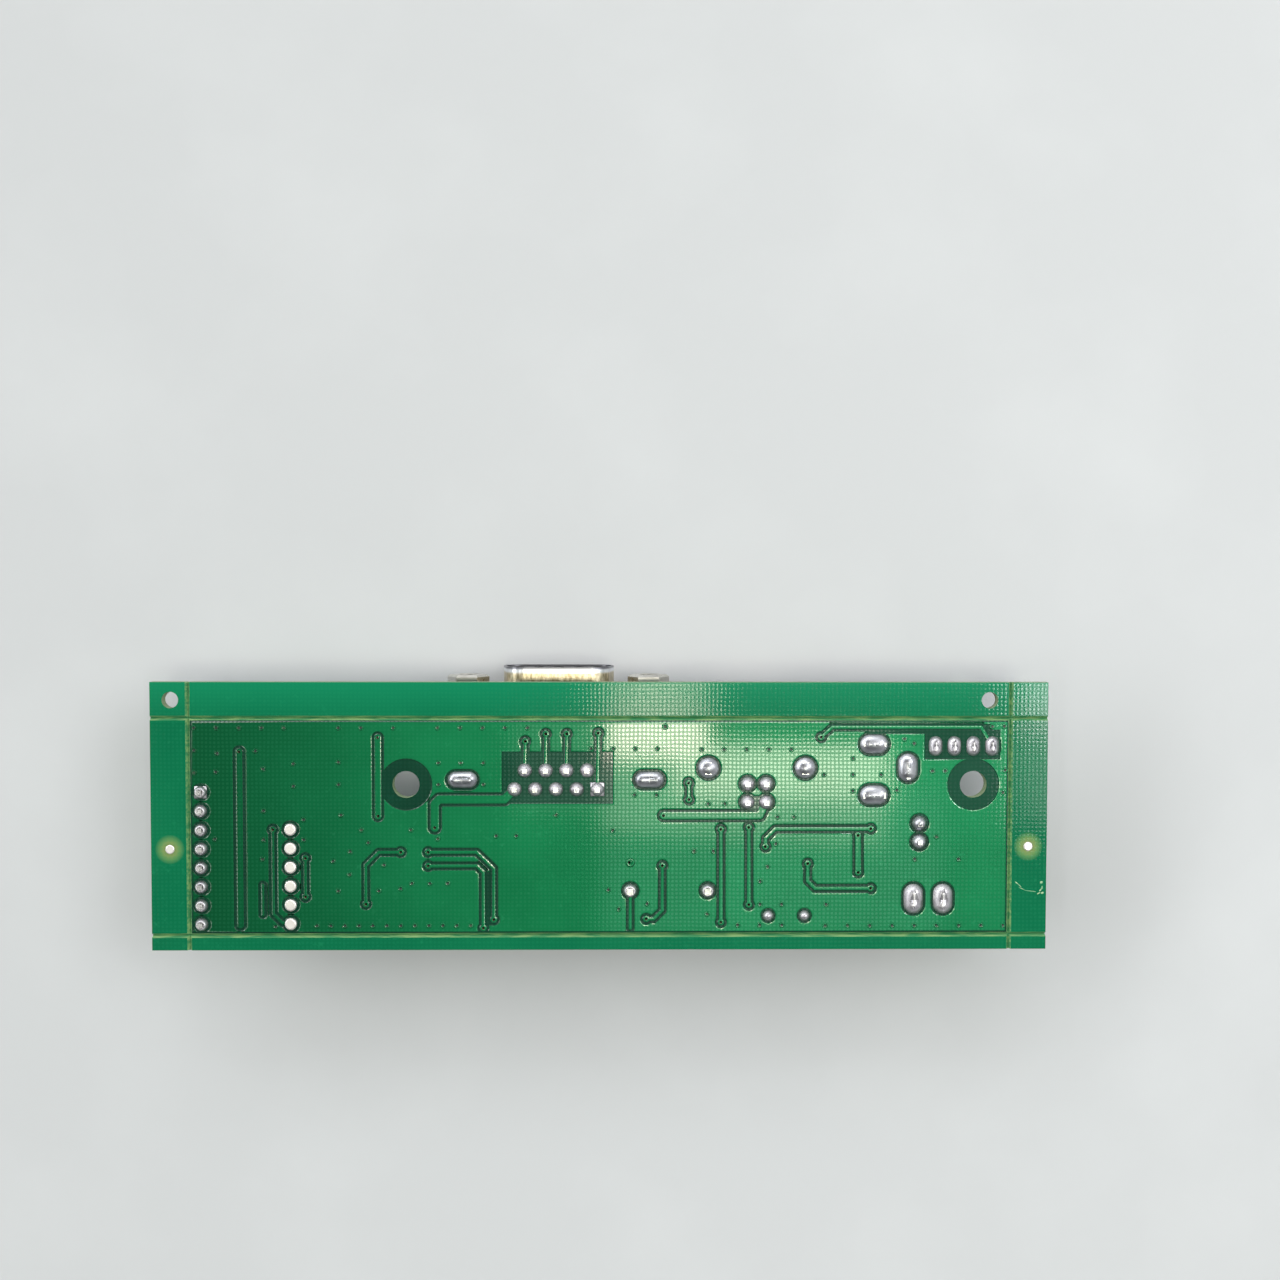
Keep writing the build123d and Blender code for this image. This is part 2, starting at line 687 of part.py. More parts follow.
tongue_low = socket_middle - tongue_height / 2
tongue_high = socket_middle + tongue_height / 2
groove = pin_size + 2 * slack
core_top = socket_middle + core_height / 2
with BuildPart() as data_socket_core:
    with BuildSketch(facing_front(core_front)):
        with Locations((socket_x, socket_middle)):
            Rectangle(core_width, core_height)
    extrude(amount=core_front - socket_back - socket_wall)
    fillet(data_socket_core.edges().filter_by(Axis.Y).group_by(Axis.Z)[0], 1.5)
    with BuildSketch(facing_front(core_front)):
        with Locations((socket_x, socket_middle)):
            Rectangle(tongue_width, tongue_height)
    extrude(amount=-tongue_length)
    # Grooves for the strips on the tongue's two faces, and for their tails.
    front_row, back_row = socket_row_y
    for x in socket_pin_x:
        with BuildSketch(facing_right(x - groove / 2)):
            with Locations(((core_front + front_row - groove / 2) / 2, (tongue_high + core_top) / 2)):
                Rectangle(core_front - front_row + groove / 2, core_top - tongue_high)
            with Locations(((core_front + back_row - groove / 2) / 2, tongue_low - strip_thickness)):
                Rectangle(core_front - back_row + groove / 2, 2 * strip_thickness)
            with Locations((back_row, (tongue_low + core_top) / 2)):
                Rectangle(groove, core_top - tongue_low + 2 * strip_thickness)
        extrude(amount=groove, mode=Mode.SUBTRACT)
save(data_socket_core.part, "data_socket_core")


def socket_contact(x, row_y, strip_middle):
    """A strip along the tongue and its tail, bent up through the board."""
    strip_tip = core_front + tongue_length - 1
    with BuildPart() as contact:
        with BuildSketch(facing_right(x - pin_size / 2)):
            with Locations(((strip_tip + row_y - pin_size / 2) / 2, strip_middle)):
                Rectangle(strip_tip - row_y + pin_size / 2, strip_thickness)
            with Locations((row_y, (strip_middle - strip_thickness / 2 + board_top + pin_proud) / 2)):
                Rectangle(pin_size, board_top + pin_proud - strip_middle + strip_thickness / 2)
        extrude(amount=pin_size)
    return contact.part


upper_strip = tongue_high + strip_thickness / 2
lower_strip = tongue_low - strip_thickness / 2
with BuildPart() as data_socket_contacts_upper:
    for x in socket_pin_x:
        add(socket_contact(x, front_row, upper_strip))
save(data_socket_contacts_upper.part, "data_socket_contacts_upper")
with BuildPart() as data_socket_contacts_lower:
    for x in socket_pin_x:
        add(socket_contact(x, back_row, lower_strip))
save(data_socket_contacts_lower.part, "data_socket_contacts_lower")

# ---- Power jack: housing, centre pin, sleeve spring and switch contact ----
bore_end = panel_front - jack_bore_depth
with BuildPart() as power_jack_housing:
    with BuildSketch(facing_front(panel_front)):
        with Locations((jack_x, board_bottom - jack_height / 2)):
            Rectangle(jack_width, jack_height)
    extrude(amount=panel_front - jack_back)
    fillet(power_jack_housing.edges().filter_by(Axis.Y).group_by(Axis.Z)[0], 1)
    with BuildSketch(facing_front(panel_front)):
        with Locations((jack_x, jack_axis)):
            Circle(jack_bore / 2)
    extrude(amount=jack_bore_depth, mode=Mode.SUBTRACT)
    with BuildSketch(facing_front(panel_front)):
        with Locations((jack_x, jack_axis)):
            Circle(jack_pin / 2 + slack)
    extrude(amount=panel_front - jack_back, mode=Mode.SUBTRACT)
    with BuildSketch(facing_right(jack_x - jack_tab_width / 2 - slack)):
        leaf_slot = jack_leaf_length + 2 * slack
        slot_back = jack_spring_y - jack_leaf / 2 - slack
        with Locations((slot_back + leaf_slot / 2, (jack_axis + board_bottom) / 2)):
            Rectangle(leaf_slot, board_bottom - jack_axis)
    extrude(amount=jack_tab_width + 2 * slack, mode=Mode.SUBTRACT)
save(power_jack_housing.part, "power_jack_housing")

with BuildPart() as power_jack_pin:
    with BuildSketch(facing_front(jack_back)):
        with Locations((jack_x, (jack_axis - jack_pin + board_top + tab_proud) / 2)):
            Rectangle(jack_tab_width, board_top + tab_proud - jack_axis + jack_pin)
    extrude(amount=jack_tab_thickness)
    with BuildSketch(facing_front(jack_back)):
        with Locations((jack_x, jack_axis)):
            Circle(jack_pin / 2)
    extrude(amount=jack_back - bore_end - jack_pin_length)
    chamfer(power_jack_pin.faces().sort_by(Axis.Y)[-1].edges(), 0.3)
save(power_jack_pin.part, "power_jack_pin")

with BuildPart() as power_jack_spring:
    leaf_low = jack_axis + jack_bore / 2 - jack_leaf
    with BuildSketch(facing_right(jack_x - jack_tab_width / 2)):
        with Locations((jack_spring_y, (leaf_low + board_top + tab_proud) / 2)):
            Rectangle(jack_leaf, board_top + tab_proud - leaf_low)
        with Locations((jack_spring_y - jack_leaf / 2 + jack_leaf_length / 2, leaf_low + jack_leaf / 2)):
            Rectangle(jack_leaf_length, jack_leaf)
    extrude(amount=jack_tab_width)
save(power_jack_spring.part, "power_jack_spring")

with BuildPart() as power_jack_switch:
    with BuildSketch(facing_right(jack_switch_x - jack_leaf / 2)):
        with Locations((jack_switch_y, (jack_axis + board_top + tab_proud) / 2)):
            Rectangle(jack_tab_width, board_top + tab_proud - jack_axis)
    extrude(amount=jack_leaf)
save(power_jack_switch.part, "power_jack_switch")

# ---- Main header: base with a latching wall, and pins whose tips the board stands on ----
main_length = main_pins * pin_pitch + slack
with BuildPart() as main_header_base:
    base_middle = main_x + (header_depth_inner - header_depth_outer) / 2
    with BuildSketch(level(board_bottom)):
        with Locations((base_middle, main_y)):
            Rectangle(header_depth_inner + header_depth_outer, main_length)
    extrude(amount=-header_base)
    with BuildSketch(level(board_bottom)):
        with Locations((main_x + header_depth_inner - header_wall / 2, main_y)):
            Rectangle(header_wall, main_length - 2 * pin_pitch)
    extrude(amount=-header_wall_height)
    with BuildSketch(level(board_bottom)):
        with Locations(*main_spots):
            Rectangle(pin_size, pin_size)
    extrude(amount=-header_base, mode=Mode.SUBTRACT)
save(main_header_base.part, "main_header_base")
save(pin_block(main_spots, pin_size, 0, board_top + pin_proud), "main_header_pins")

# ---- Side header: plain base and four pins ----
with BuildPart() as side_header_base:
    with BuildSketch(level(board_bottom)):
        with Locations((side_x, side_y)):
            Rectangle(side_pins * pin_pitch, side_base)
        with Locations(*side_spots):
            Rectangle(pin_size, pin_size, mode=Mode.SUBTRACT)
    extrude(amount=-side_base)
    chamfer(side_header_base.edges().filter_by(Axis.Z).group_by(Axis.X)[0], 0.4)
save(side_header_base.part, "side_header_base")
side_pin_low = board_bottom - side_pin_length
save(pin_block(side_spots, pin_size, side_pin_low, board_top + tab_proud), "side_header_pins")

# ---- Supply header: base with a latching wall and two heavy pins ----
with BuildPart() as supply_header_base:
    with BuildSketch(level(board_bottom)):
        with Locations((supply_x, supply_y)):
            Rectangle(2 * supply_pitch, supply_depth)
    extrude(amount=-header_base)
    with BuildSketch(level(board_bottom)):
        with Locations((supply_x, supply_y - supply_depth / 2 + header_wall / 2)):
            Rectangle(2 * supply_pitch - 2 * header_wall, header_wall)
    extrude(amount=-header_wall_height)
    with BuildSketch(level(board_bottom)):
        with Locations(*supply_spots):
            Rectangle(supply_pin, supply_pin)
    extrude(amount=-header_base, mode=Mode.SUBTRACT)
save(supply_header_base.part, "supply_header_base")
supply_pin_low = board_bottom - supply_pin_length
save(pin_block(supply_spots, supply_pin, supply_pin_low, board_top + tab_proud), "supply_header_pins")

# ---- Electrolytic capacitor: can, rubber seal and leads ----
capacitor_height = flange_height
seal_thickness = capacitor_height - capacitor_length
with BuildPart() as capacitor_can:
    with BuildSketch(level(0)):
        with Locations((capacitor_x, capacitor_y)):
            Circle(capacitor_diameter / 2)
    extrude(amount=capacitor_length)
    fillet(capacitor_can.edges().group_by(Axis.Z)[0], 0.5)
    # The vent: a cross scored in the end of the can.
    with BuildSketch(level(0)):
        with Locations((capacitor_x, capacitor_y)):
            Rectangle(capacitor_diameter * 0.6, 0.3)
            Rectangle(0.3, capacitor_diameter * 0.6)
    extrude(amount=0.2, mode=Mode.SUBTRACT)
save(capacitor_can.part, "capacitor_can")

with BuildPart() as capacitor_seal_part:
    with BuildSketch(level(capacitor_length)):
        with Locations((capacitor_x, capacitor_y)):
            Circle(capacitor_seal / 2)
        with Locations(*capacitor_spots):
            Rectangle(capacitor_lead, capacitor_lead, mode=Mode.SUBTRACT)
    extrude(amount=seal_thickness)
save(capacitor_seal_part.part, "capacitor_seal")
capacitor_leads = pin_block(capacitor_spots, capacitor_lead, capacitor_length, board_top + pin_proud)
save(capacitor_leads, "capacitor_leads")

# ---- Crystal: drawn can on a rimmed base, two leads ----
with BuildPart() as crystal_base_part:
    with BuildSketch(level(board_bottom)):
        with Locations((crystal_x, crystal_y)):
            SlotOverall(crystal_length + 2 * crystal_rim, crystal_width + 2 * crystal_rim)
        with Locations(*crystal_spots):
            Rectangle(crystal_lead, crystal_lead, mode=Mode.SUBTRACT)
    extrude(amount=-crystal_base)
save(crystal_base_part.part, "crystal_base")
with BuildPart() as crystal_can:
    with BuildSketch(level(board_bottom - crystal_base)):
        with Locations((crystal_x, crystal_y)):
            SlotOverall(crystal_length, crystal_width)
    extrude(amount=-crystal_height)
    fillet(crystal_can.edges().group_by(Axis.Z)[0], 0.5)
save(crystal_can.part, "crystal_can")
crystal_leads = pin_block(crystal_spots, crystal_lead, board_bottom - crystal_base, board_top + tab_proud)
save(crystal_leads, "crystal_leads")

# ---- Axial diode: moulded body and two leads bent up through the board ----
diode_axis = board_bottom - 3 * slack - diode_diameter / 2
with BuildPart() as diode_body:
    with BuildSketch(facing_right(diode_x - diode_length / 2)):
        with Locations((diode_y, diode_axis)):
            Circle(diode_diameter / 2)
    extrude(amount=diode_length)
    chamfer(diode_body.edges(), 0.2)
save(diode_body.part, "diode_body")
with BuildPart() as diode_leads:
    for end, (x, _) in zip((-1, 1), diode_spots):
        inner = diode_x + end * diode_length / 2
        outer = x + end * diode_lead / 2
        with BuildSketch(facing_front(diode_y + diode_lead / 2)):
            with Locations(((inner + outer) / 2, diode_axis)):
                Rectangle(abs(outer - inner), diode_lead)
            with Locations((x, (diode_axis - diode_lead / 2 + board_top + pin_proud) / 2)):
                Rectangle(diode_lead, board_top + pin_proud - diode_axis + diode_lead / 2)
        extrude(amount=diode_lead)
save(diode_leads.part, "diode_leads")

# ---- Surface-mounted chips ----
chip_face = board_bottom - chip_standoff


def chip_body(spot, size_x, size_y, height):
    """A moulded body, tapered at its edges, with a dimple at lead one."""
    with BuildPart() as body:
        with BuildSketch(level(chip_face)):
            with Locations(spot):
                Rectangle(size_x, size_y)
        extrude(amount=-height)
        chamfer(body.edges().filter_by(Axis.Z), 0.2)
        with BuildSketch(level(chip_face - height)):
            with Locations((spot[0] - size_x / 2 + 1, spot[1] - size_y / 2 + 1)):
                Circle(0.4)
        extrude(amount=0.15, mode=Mode.SUBTRACT)
    return body.part


def gull_leads(spot, turns, count, pitch, width, body, span, height):
    """Rows of bent leads, one row for each turn, soldered flat to the board."""
    shoulder = chip_standoff + height / 2
    drop = (shoulder + lead_sheet / 2) / 2
    bend = body / 2 + lead_arm
    foot = span / 2 - bend + lead_sheet
    with BuildPart() as leads:
        for turn in turns:
            with Locations(Location((spot[0], board_y + spot[1], board_bottom), (0, 0, turn))):
                with GridLocations(pitch, 1, count, 1):
                    with Locations((0, body / 2 + lead_arm / 2, -shoulder)):
                        Box(width, lead_arm, lead_sheet)
                    with Locations((0, bend - lead_sheet / 2, -drop)):
                        Box(width, lead_sheet, 2 * drop)
                    with Locations((0, bend - lead_sheet + foot / 2, -lead_sheet / 2)):
                        Box(width, foot, lead_sheet)
    return leads.part


save(chip_body(controller_spot, controller_size, controller_size, controller_height), "controller_body")
controller_leads = gull_leads(
    controller_spot, (0, 90, 180, 270), controller_pin_count, controller_pitch,
    controller_pitch / 2, controller_size, controller_span, controller_height,
)
save(controller_leads, "controller_leads")
for name, spot, count in (
    ("transceiver", transceiver_spot, transceiver_pin_count),
    ("driver", driver_spot, driver_pin_count),
):
    length = count * wide_chip_pitch + 0.1
    save(chip_body(spot, length, wide_chip_width, wide_chip_height), f"{name}_body")
    leads = gull_leads(
        spot, (0, 180), count, wide_chip_pitch, wide_chip_pitch / 3,
        wide_chip_width, wide_chip_span, wide_chip_height,
    )
    save(leads, f"{name}_leads")

save(chip_body(regulator_spot, regulator_length, regulator_width, regulator_height), "regulator_body")
regulator_leads = gull_leads(
    regulator_spot, (180,), 3, regulator_pitch, 0.7,
    regulator_width, regulator_span, regulator_height,
)
save(regulator_leads, "regulator_leads")
with BuildPart() as regulator_tab_part:
    with BuildSketch(level(board_bottom)):
        with Locations((regulator_spot[0], regulator_spot[1] + regulator_width / 2 + regulator_tab / 2)):
            Rectangle(regulator_length - 1.3, regulator_tab)
    extrude(amount=-chip_standoff - lead_sheet * 2)
save(regulator_tab_part.part, "regulator_tab")

# ---- Chip capacitors and resistors: a body and two end caps each ----
capacitor_chips = [at(-24, -13), at(16.3, -6), at(19.5, -4.5), at(24, -4.5), at(24, -7.5), at(33.5, -12.5)]
resistor_chips = [at(-46.5, -2), at(-46.5, -5), at(-46.5, -8), at(-20.5, -13), at(8, -5), at(12, -5)]


def chip_blocks(spots, height):
    with BuildPart() as blocks:
        with BuildSketch(level(board_bottom)):
            with Locations(*spots):
                Rectangle(chip_length - 2 * end_cap, chip_width)
        extrude(amount=-height)
    return blocks.part


save(chip_blocks(capacitor_chips, chip_height), "chip_capacitors")
save(chip_blocks(resistor_chips, chip_height / 2), "chip_resistors")
with BuildPart() as chip_end_caps:
    for spots, height in ((capacitor_chips, chip_height), (resistor_chips, chip_height / 2)):
        with BuildSketch(level(board_bottom)):
            with Locations(*spots):
                with GridLocations(chip_length - end_cap, 1, 2, 1):
                    Rectangle(end_cap, chip_width)
        extrude(amount=-height)
save(chip_end_caps.part, "chip_end_caps")
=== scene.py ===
"""An interface board, solder side up: materials, solder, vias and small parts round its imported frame."""
import math
import random

import bmesh
import bpy
from mathutils import Matrix, Vector, noise


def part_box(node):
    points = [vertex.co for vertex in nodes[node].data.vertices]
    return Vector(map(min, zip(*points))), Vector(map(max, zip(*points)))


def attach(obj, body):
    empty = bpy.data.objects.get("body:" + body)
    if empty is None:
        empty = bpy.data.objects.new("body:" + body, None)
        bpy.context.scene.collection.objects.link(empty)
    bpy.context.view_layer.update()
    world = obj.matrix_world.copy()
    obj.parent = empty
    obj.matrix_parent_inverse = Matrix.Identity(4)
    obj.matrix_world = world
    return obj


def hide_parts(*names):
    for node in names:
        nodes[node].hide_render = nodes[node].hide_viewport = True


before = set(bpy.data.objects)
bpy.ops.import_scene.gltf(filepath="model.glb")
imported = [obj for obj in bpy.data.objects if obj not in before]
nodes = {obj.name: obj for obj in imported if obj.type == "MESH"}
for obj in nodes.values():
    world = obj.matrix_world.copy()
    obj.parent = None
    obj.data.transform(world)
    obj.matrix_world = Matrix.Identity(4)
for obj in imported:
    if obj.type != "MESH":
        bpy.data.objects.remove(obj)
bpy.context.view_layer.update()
MM = 0.001

BOARD_LOW, BOARD_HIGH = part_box("circuit_board")
COPPER_TOP = BOARD_HIGH[2]
COPPER_STEP = 0.06 * MM
LAMINATE_TOP = COPPER_TOP - COPPER_STEP
BOARD_BOTTOM = BOARD_LOW[2]
BOARD_MIDDLE = Vector(((BOARD_LOW[0] + BOARD_HIGH[0]) / 2, (BOARD_LOW[1] + BOARD_HIGH[1]) / 2, 0))
# How far a copper edge's slope runs out over the laminate, and the width of the mask's shoulder on it.
SLOPE_RUN = 0.10 * MM
SHOULDER = 0.15 * MM
# The snap-off rails: their widths at both ends, at the front and at the back.
RAIL = 5 * MM
FRONT_RAIL = 4.8 * MM
BACK_RAIL = 2 * MM
# Heights closer than this are one surface.
ROUNDING = 0.004 * MM
# Spacing of the laminate's cloth.
CLOTH_PITCH = 0.55 * MM


def merged(node):
    """A CAD node's triangles, joined where they meet."""
    bm = bmesh.new()
    bm.from_mesh(nodes[node].data)
    bmesh.ops.remove_doubles(bm, verts=bm.verts, dist=0.0002 * MM)
    bm.normal_update()
    return bm


def near(a, b):
    """Whether two heights are the same but for rounding."""
    return abs(a - b) < ROUNDING


def on_rail(place):
    """Whether a place on the board is outside its score lines."""
    from_end = min(place.x - BOARD_LOW[0], BOARD_HIGH[0] - place.x)
    return from_end < RAIL or place.y > BOARD_HIGH[1] - FRONT_RAIL or place.y < BOARD_LOW[1] + BACK_RAIL


def fiducial_places():
    """Middles of the two bare copper dots on the end rails."""
    bm = merged("circuit_board")
    dots = [v.co.copy() for v in bm.verts if near(v.co.z, COPPER_TOP) and on_rail(v.co)]
    bm.free()
    sides = ([p for p in dots if p.x < BOARD_MIDDLE.x], [p for p in dots if p.x > BOARD_MIDDLE.x])
    return [sum(side, Vector()) / len(side) for side in sides]


FIDUCIALS = fiducial_places()


def tint(code):
    """A colour written as a web code, as the shader wants it."""
    parts = [int(code[i : i + 2], 16) / 255 for i in (1, 3, 5)]
    return [c / 12.92 if c <= 0.04045 else ((c + 0.055) / 1.055) ** 2.4 for c in parts] + [1]


# ---- Materials ----
class Finish:
    """A material being wired: its nodes, their links and its shader."""

    def __init__(self, name, color, roughness=0.5, metallic=0.0, specular=0.5, coat=0.0):
        self.material = bpy.data.materials.new(name)
        self.material.use_nodes = True
        self.nodes = self.material.node_tree.nodes
        self.links = self.material.node_tree.links
        self.shader = self.nodes["Principled BSDF"]
        self.shader.inputs["Base Color"].default_value = tint(color)
        self.shader.inputs["Roughness"].default_value = roughness
        self.shader.inputs["Metallic"].default_value = metallic
        self.shader.inputs["Specular IOR Level"].default_value = specular
        self.shader.inputs["Coat Weight"].default_value = coat
        self.coordinates = self.nodes.new("ShaderNodeTexCoord").outputs["Object"]
        self.height = None

    def join(self, source, target):
        self.links.new(source, target)

    def stretched(self, scale):
        """Object coordinates with their own scale on each axis."""
        mapping = self.nodes.new("ShaderNodeMapping")
        mapping.inputs["Scale"].default_value = scale
        self.join(self.coordinates, mapping.inputs["Vector"])
        return mapping.outputs["Vector"]

    def noise(self, scale, detail=3.0, stretch=(1, 1, 1)):
        texture = self.nodes.new("ShaderNodeTexNoise")
        texture.inputs["Scale"].default_value = scale
        texture.inputs["Detail"].default_value = detail
        self.join(self.stretched(stretch), texture.inputs["Vector"])
        return texture.outputs["Fac"]

    def threads(self, axis):
        """The cloth's threads as soft, slightly wavy bands along an axis."""
        texture = self.nodes.new("ShaderNodeTexWave")
        texture.bands_direction = axis
        texture.inputs["Scale"].default_value = math.pi / (10 * CLOTH_PITCH)
        texture.inputs["Distortion"].default_value = 1.2
        texture.inputs["Detail"].default_value = 1.5
        texture.inputs["Detail Scale"].default_value = 0.6
        self.join(self.coordinates, texture.inputs["Vector"])
        return texture.outputs["Fac"]

    def span(self, value, low, high, to_low=0.0, to_high=1.0):
        """A value stretched so that low and high become two others."""
        ramp = self.nodes.new("ShaderNodeMapRange")
        self.join(value, ramp.inputs["Value"])
        for key, number in (("From Min", low), ("From Max", high), ("To Min", to_low), ("To Max", to_high)):
            ramp.inputs[key].default_value = number
        return ramp.outputs["Result"]

    def math(self, operation, first, second):
        node = self.nodes.new("ShaderNodeMath")
        node.operation = operation
        for socket, value in zip(node.inputs, (first, second)):
            if isinstance(value, (int, float)):
                socket.default_value = value
            else:
                self.join(value, socket)
        return node.outputs["Value"]

    def reach(self, place):
        """Distance of the surface from a place."""
        node = self.nodes.new("ShaderNodeVectorMath")
        node.operation = "DISTANCE"
        self.join(self.coordinates, node.inputs[0])
        node.inputs[1].default_value = place
        return node.outputs["Value"]

    def axis(self, name):
        """One coordinate of the surface."""
        node = self.nodes.new("ShaderNodeSeparateXYZ")
        self.join(self.coordinates, node.inputs["Vector"])
        return node.outputs[name]

    def mix(self, factor, low, high):
        """Between two colours, each a web code or another colour output."""
        node = self.nodes.new("ShaderNodeMix")
        node.data_type = "RGBA"
        self.join(factor, node.inputs["Factor"])
        for socket, value in ((node.inputs[6], low), (node.inputs[7], high)):
            if isinstance(value, str):
                socket.default_value = tint(value)
            else:
                self.join(value, socket)
        return node.outputs[2]

    def color(self, output):
        self.join(output, self.shader.inputs["Base Color"])
        return self

    def rough(self, value, low, high):
        self.join(self.span(value, 0.3, 0.7, low, high), self.shader.inputs["Roughness"])
        return self

    def bump(self, value, depth):
        """Relief of a depth in metres; each call adds to the last."""
        node = self.nodes.new("ShaderNodeBump")
        node.inputs["Strength"].default_value = 1.0
        node.inputs["Distance"].default_value = depth
        self.join(value, node.inputs["Height"])
        if self.height:
            self.join(self.height, node.inputs["Normal"])
        self.height = node.outputs["Normal"]
        self.join(self.height, self.shader.inputs["Normal"])
        return self


def mask_finish(name, deep, plain, light, gloss=0.06, sheen=0.0, weave=0.001, coat=1.0, windows=(), painted_shading=None):
    """Green solder mask: a clear gloss over mottled colour, with the copper's sheen and the cloth's relief.

    Windows are bared places, and a painted shading turns the colour to another tone along an axis, in millimetres:
    painted light where that tone is paler, painted shade where it is darker.
    """
    finish = Finish(name, plain, roughness=0.45, metallic=sheen, specular=0.0, coat=coat)
    finish.shader.inputs["Coat Roughness"].default_value = gloss
    cloud = finish.noise(90, 3)
    color = finish.mix(finish.span(cloud, 0.35, 0.7), deep, plain)
    grain = finish.noise(1400, 2)
    color = finish.mix(finish.span(grain, 0.62, 0.8, 0, 0.3), color, light)
    # Painted light and shade: the colour turns to the given paler or darker tone along an axis.
    if painted_shading:
        axis, start, end, tone = painted_shading
        color = finish.mix(finish.span(finish.axis(axis), start * MM, end * MM), color, tone)
    for place in windows:
        reach = finish.reach(place)
        # Bare laminate shows through a window in the mask, round the dot.
        bare = finish.mix(finish.span(reach, 0.6 * MM, 1.4 * MM), "#838c56", "#759c5c")
        color = finish.mix(finish.span(reach, 1.0 * MM, 2.0 * MM, 0.85, 0), color, bare)
    cloth = finish.math("MULTIPLY", finish.threads("X"), finish.threads("Y"))
    # The cloth's crossings are paler and glossier than the hollows between them.
    finish.color(finish.mix(finish.span(cloth, 0.1, 0.5, 0.0, 0.14), color, light))
    finish.join(finish.span(cloth, 0.14, 0.46, 0.34 * coat, coat), finish.shader.inputs["Coat Weight"])
    finish.bump(cloth, weave * MM)
    finish.bump(finish.noise(900, 3), 0.0012 * MM)
    finish.join(finish.height, finish.shader.inputs["Coat Normal"])
    return finish.material


# The pour's colour darkens towards the board's left end: painted shade.
MASK_COPPER = mask_finish(
    "mask_over_copper", "#11673f", "#157247", "#2f8b62", sheen=0.8, painted_shading=("X", -26, -60, "#0b4c2c")
)
MASK_FIELD = mask_finish("mask_over_laminate", "#12402d", "#184a36", "#245a45", coat=0.85)
MASK_GAP = mask_finish("mask_in_gaps", "#0b3626", "#0e3f2c", "#165240", gloss=0.2, coat=0.5)
MASK_EDGE = mask_finish("mask_on_copper_edges", "#0b3626", "#0e3f2c", "#165240", gloss=0.12, weave=0.0005)
# The rail's colour turns paler towards the board's front edge: painted light.
MASK_RAIL = mask_finish(
    "mask_over_rail", "#0c6643", "#0f6d47", "#268c60", gloss=0.07, weave=0.0022, coat=0.38,
    windows=FIDUCIALS, painted_shading=("Y", 11.5, 18, "#15835a"),
)
MASK_UNDER = mask_finish("mask_underside", "#106a3b", "#127643", "#2d8d5e", gloss=0.2, sheen=0.5)


def laminate_finish(name, base, strand, roughness):
    """Bare glass laminate: pale strands in resin."""
    finish = Finish(name, base, roughness=roughness)
    strands = finish.noise(2500, 2, (0.15, 1, 1))
    finish.color(finish.mix(finish.span(strands, 0.4, 0.65), base, strand))
    finish.bump(strands, 0.03 * MM)
    return finish.material


SCORED = laminate_finish("scored_laminate", "#3a8455", "#7fa56c", 0.5)
CUT_EDGE = laminate_finish("cut_laminate", "#7d936f", "#97a481", 0.65)


def solder_finish(name, dark, light, roughness, ripple):
    """Frozen solder: clouded metal with a fine ripple."""
    finish = Finish(name, light, roughness=roughness, metallic=1.0)
    cloud = finish.noise(700, 2)
    finish.color(finish.mix(finish.span(cloud, 0.3, 0.7), dark, light))
    finish.bump(finish.noise(600, 1), ripple)
    finish.rough(finish.noise(500, 1), roughness - 0.04, roughness + 0.04)
    return finish.material


SOLDER = solder_finish("solder", "#a2a4ab", "#c4c5ca", 0.34, 0.004 * MM)
FROSTED_SOLDER = solder_finish("frosted_solder", "#c0bdc4", "#d6d3d6", 0.42, 0.004 * MM)
FLAT_SOLDER = solder_finish("levelled_solder", "#e4dedc", "#f2eeea", 0.5, 0.008 * MM)


def metal_finish(name, dark, light, roughness, brushed=(1, 1, 1), relief=0.004, tail=None):
    """Plated metal; a tail's plating takes over where the piece goes through the board."""
    finish = Finish(name, light, roughness=roughness, metallic=1.0)
    cloud = finish.noise(260, 3)
    streak = finish.noise(1500, 3, brushed)
    color = finish.mix(finish.span(cloud, 0.3, 0.7), dark, light)
    if tail:
        color = finish.mix(finish.span(finish.axis("Z"), BOARD_BOTTOM - 1.2 * MM, BOARD_BOTTOM - MM), color, tail)
    finish.color(color)
    finish.bump(streak, relief * MM)
    finish.rough(streak, roughness - 0.08, roughness + 0.12)
    return finish.material


NICKEL = metal_finish("nickel_plate", "#c6c4bd", "#e4e2da", 0.2, (0.08, 1, 1), relief=0.002)
JACKSCREW_NICKEL = metal_finish("satin_nickel", "#bdbab2", "#e0ded8", 0.32, (0.08, 1, 1), relief=0.002)
ZINC = metal_finish("zinc_plate", "#a9a79a", "#cfccc0", 0.34, (1, 0.1, 1))
TIN_PIN = metal_finish("tinned_pin", "#a8a8a6", "#cfcecb", 0.3, (1, 1, 0.1), relief=0.001)
GOLD = metal_finish("gold_flash", "#b8923c", "#dcb765", 0.26, (1, 0.1, 1), tail="#c8c8c6")
CAN_STEEL = metal_finish("drawn_can", "#a9a9a4", "#cfcfc9", 0.3, (0.1, 1, 1))


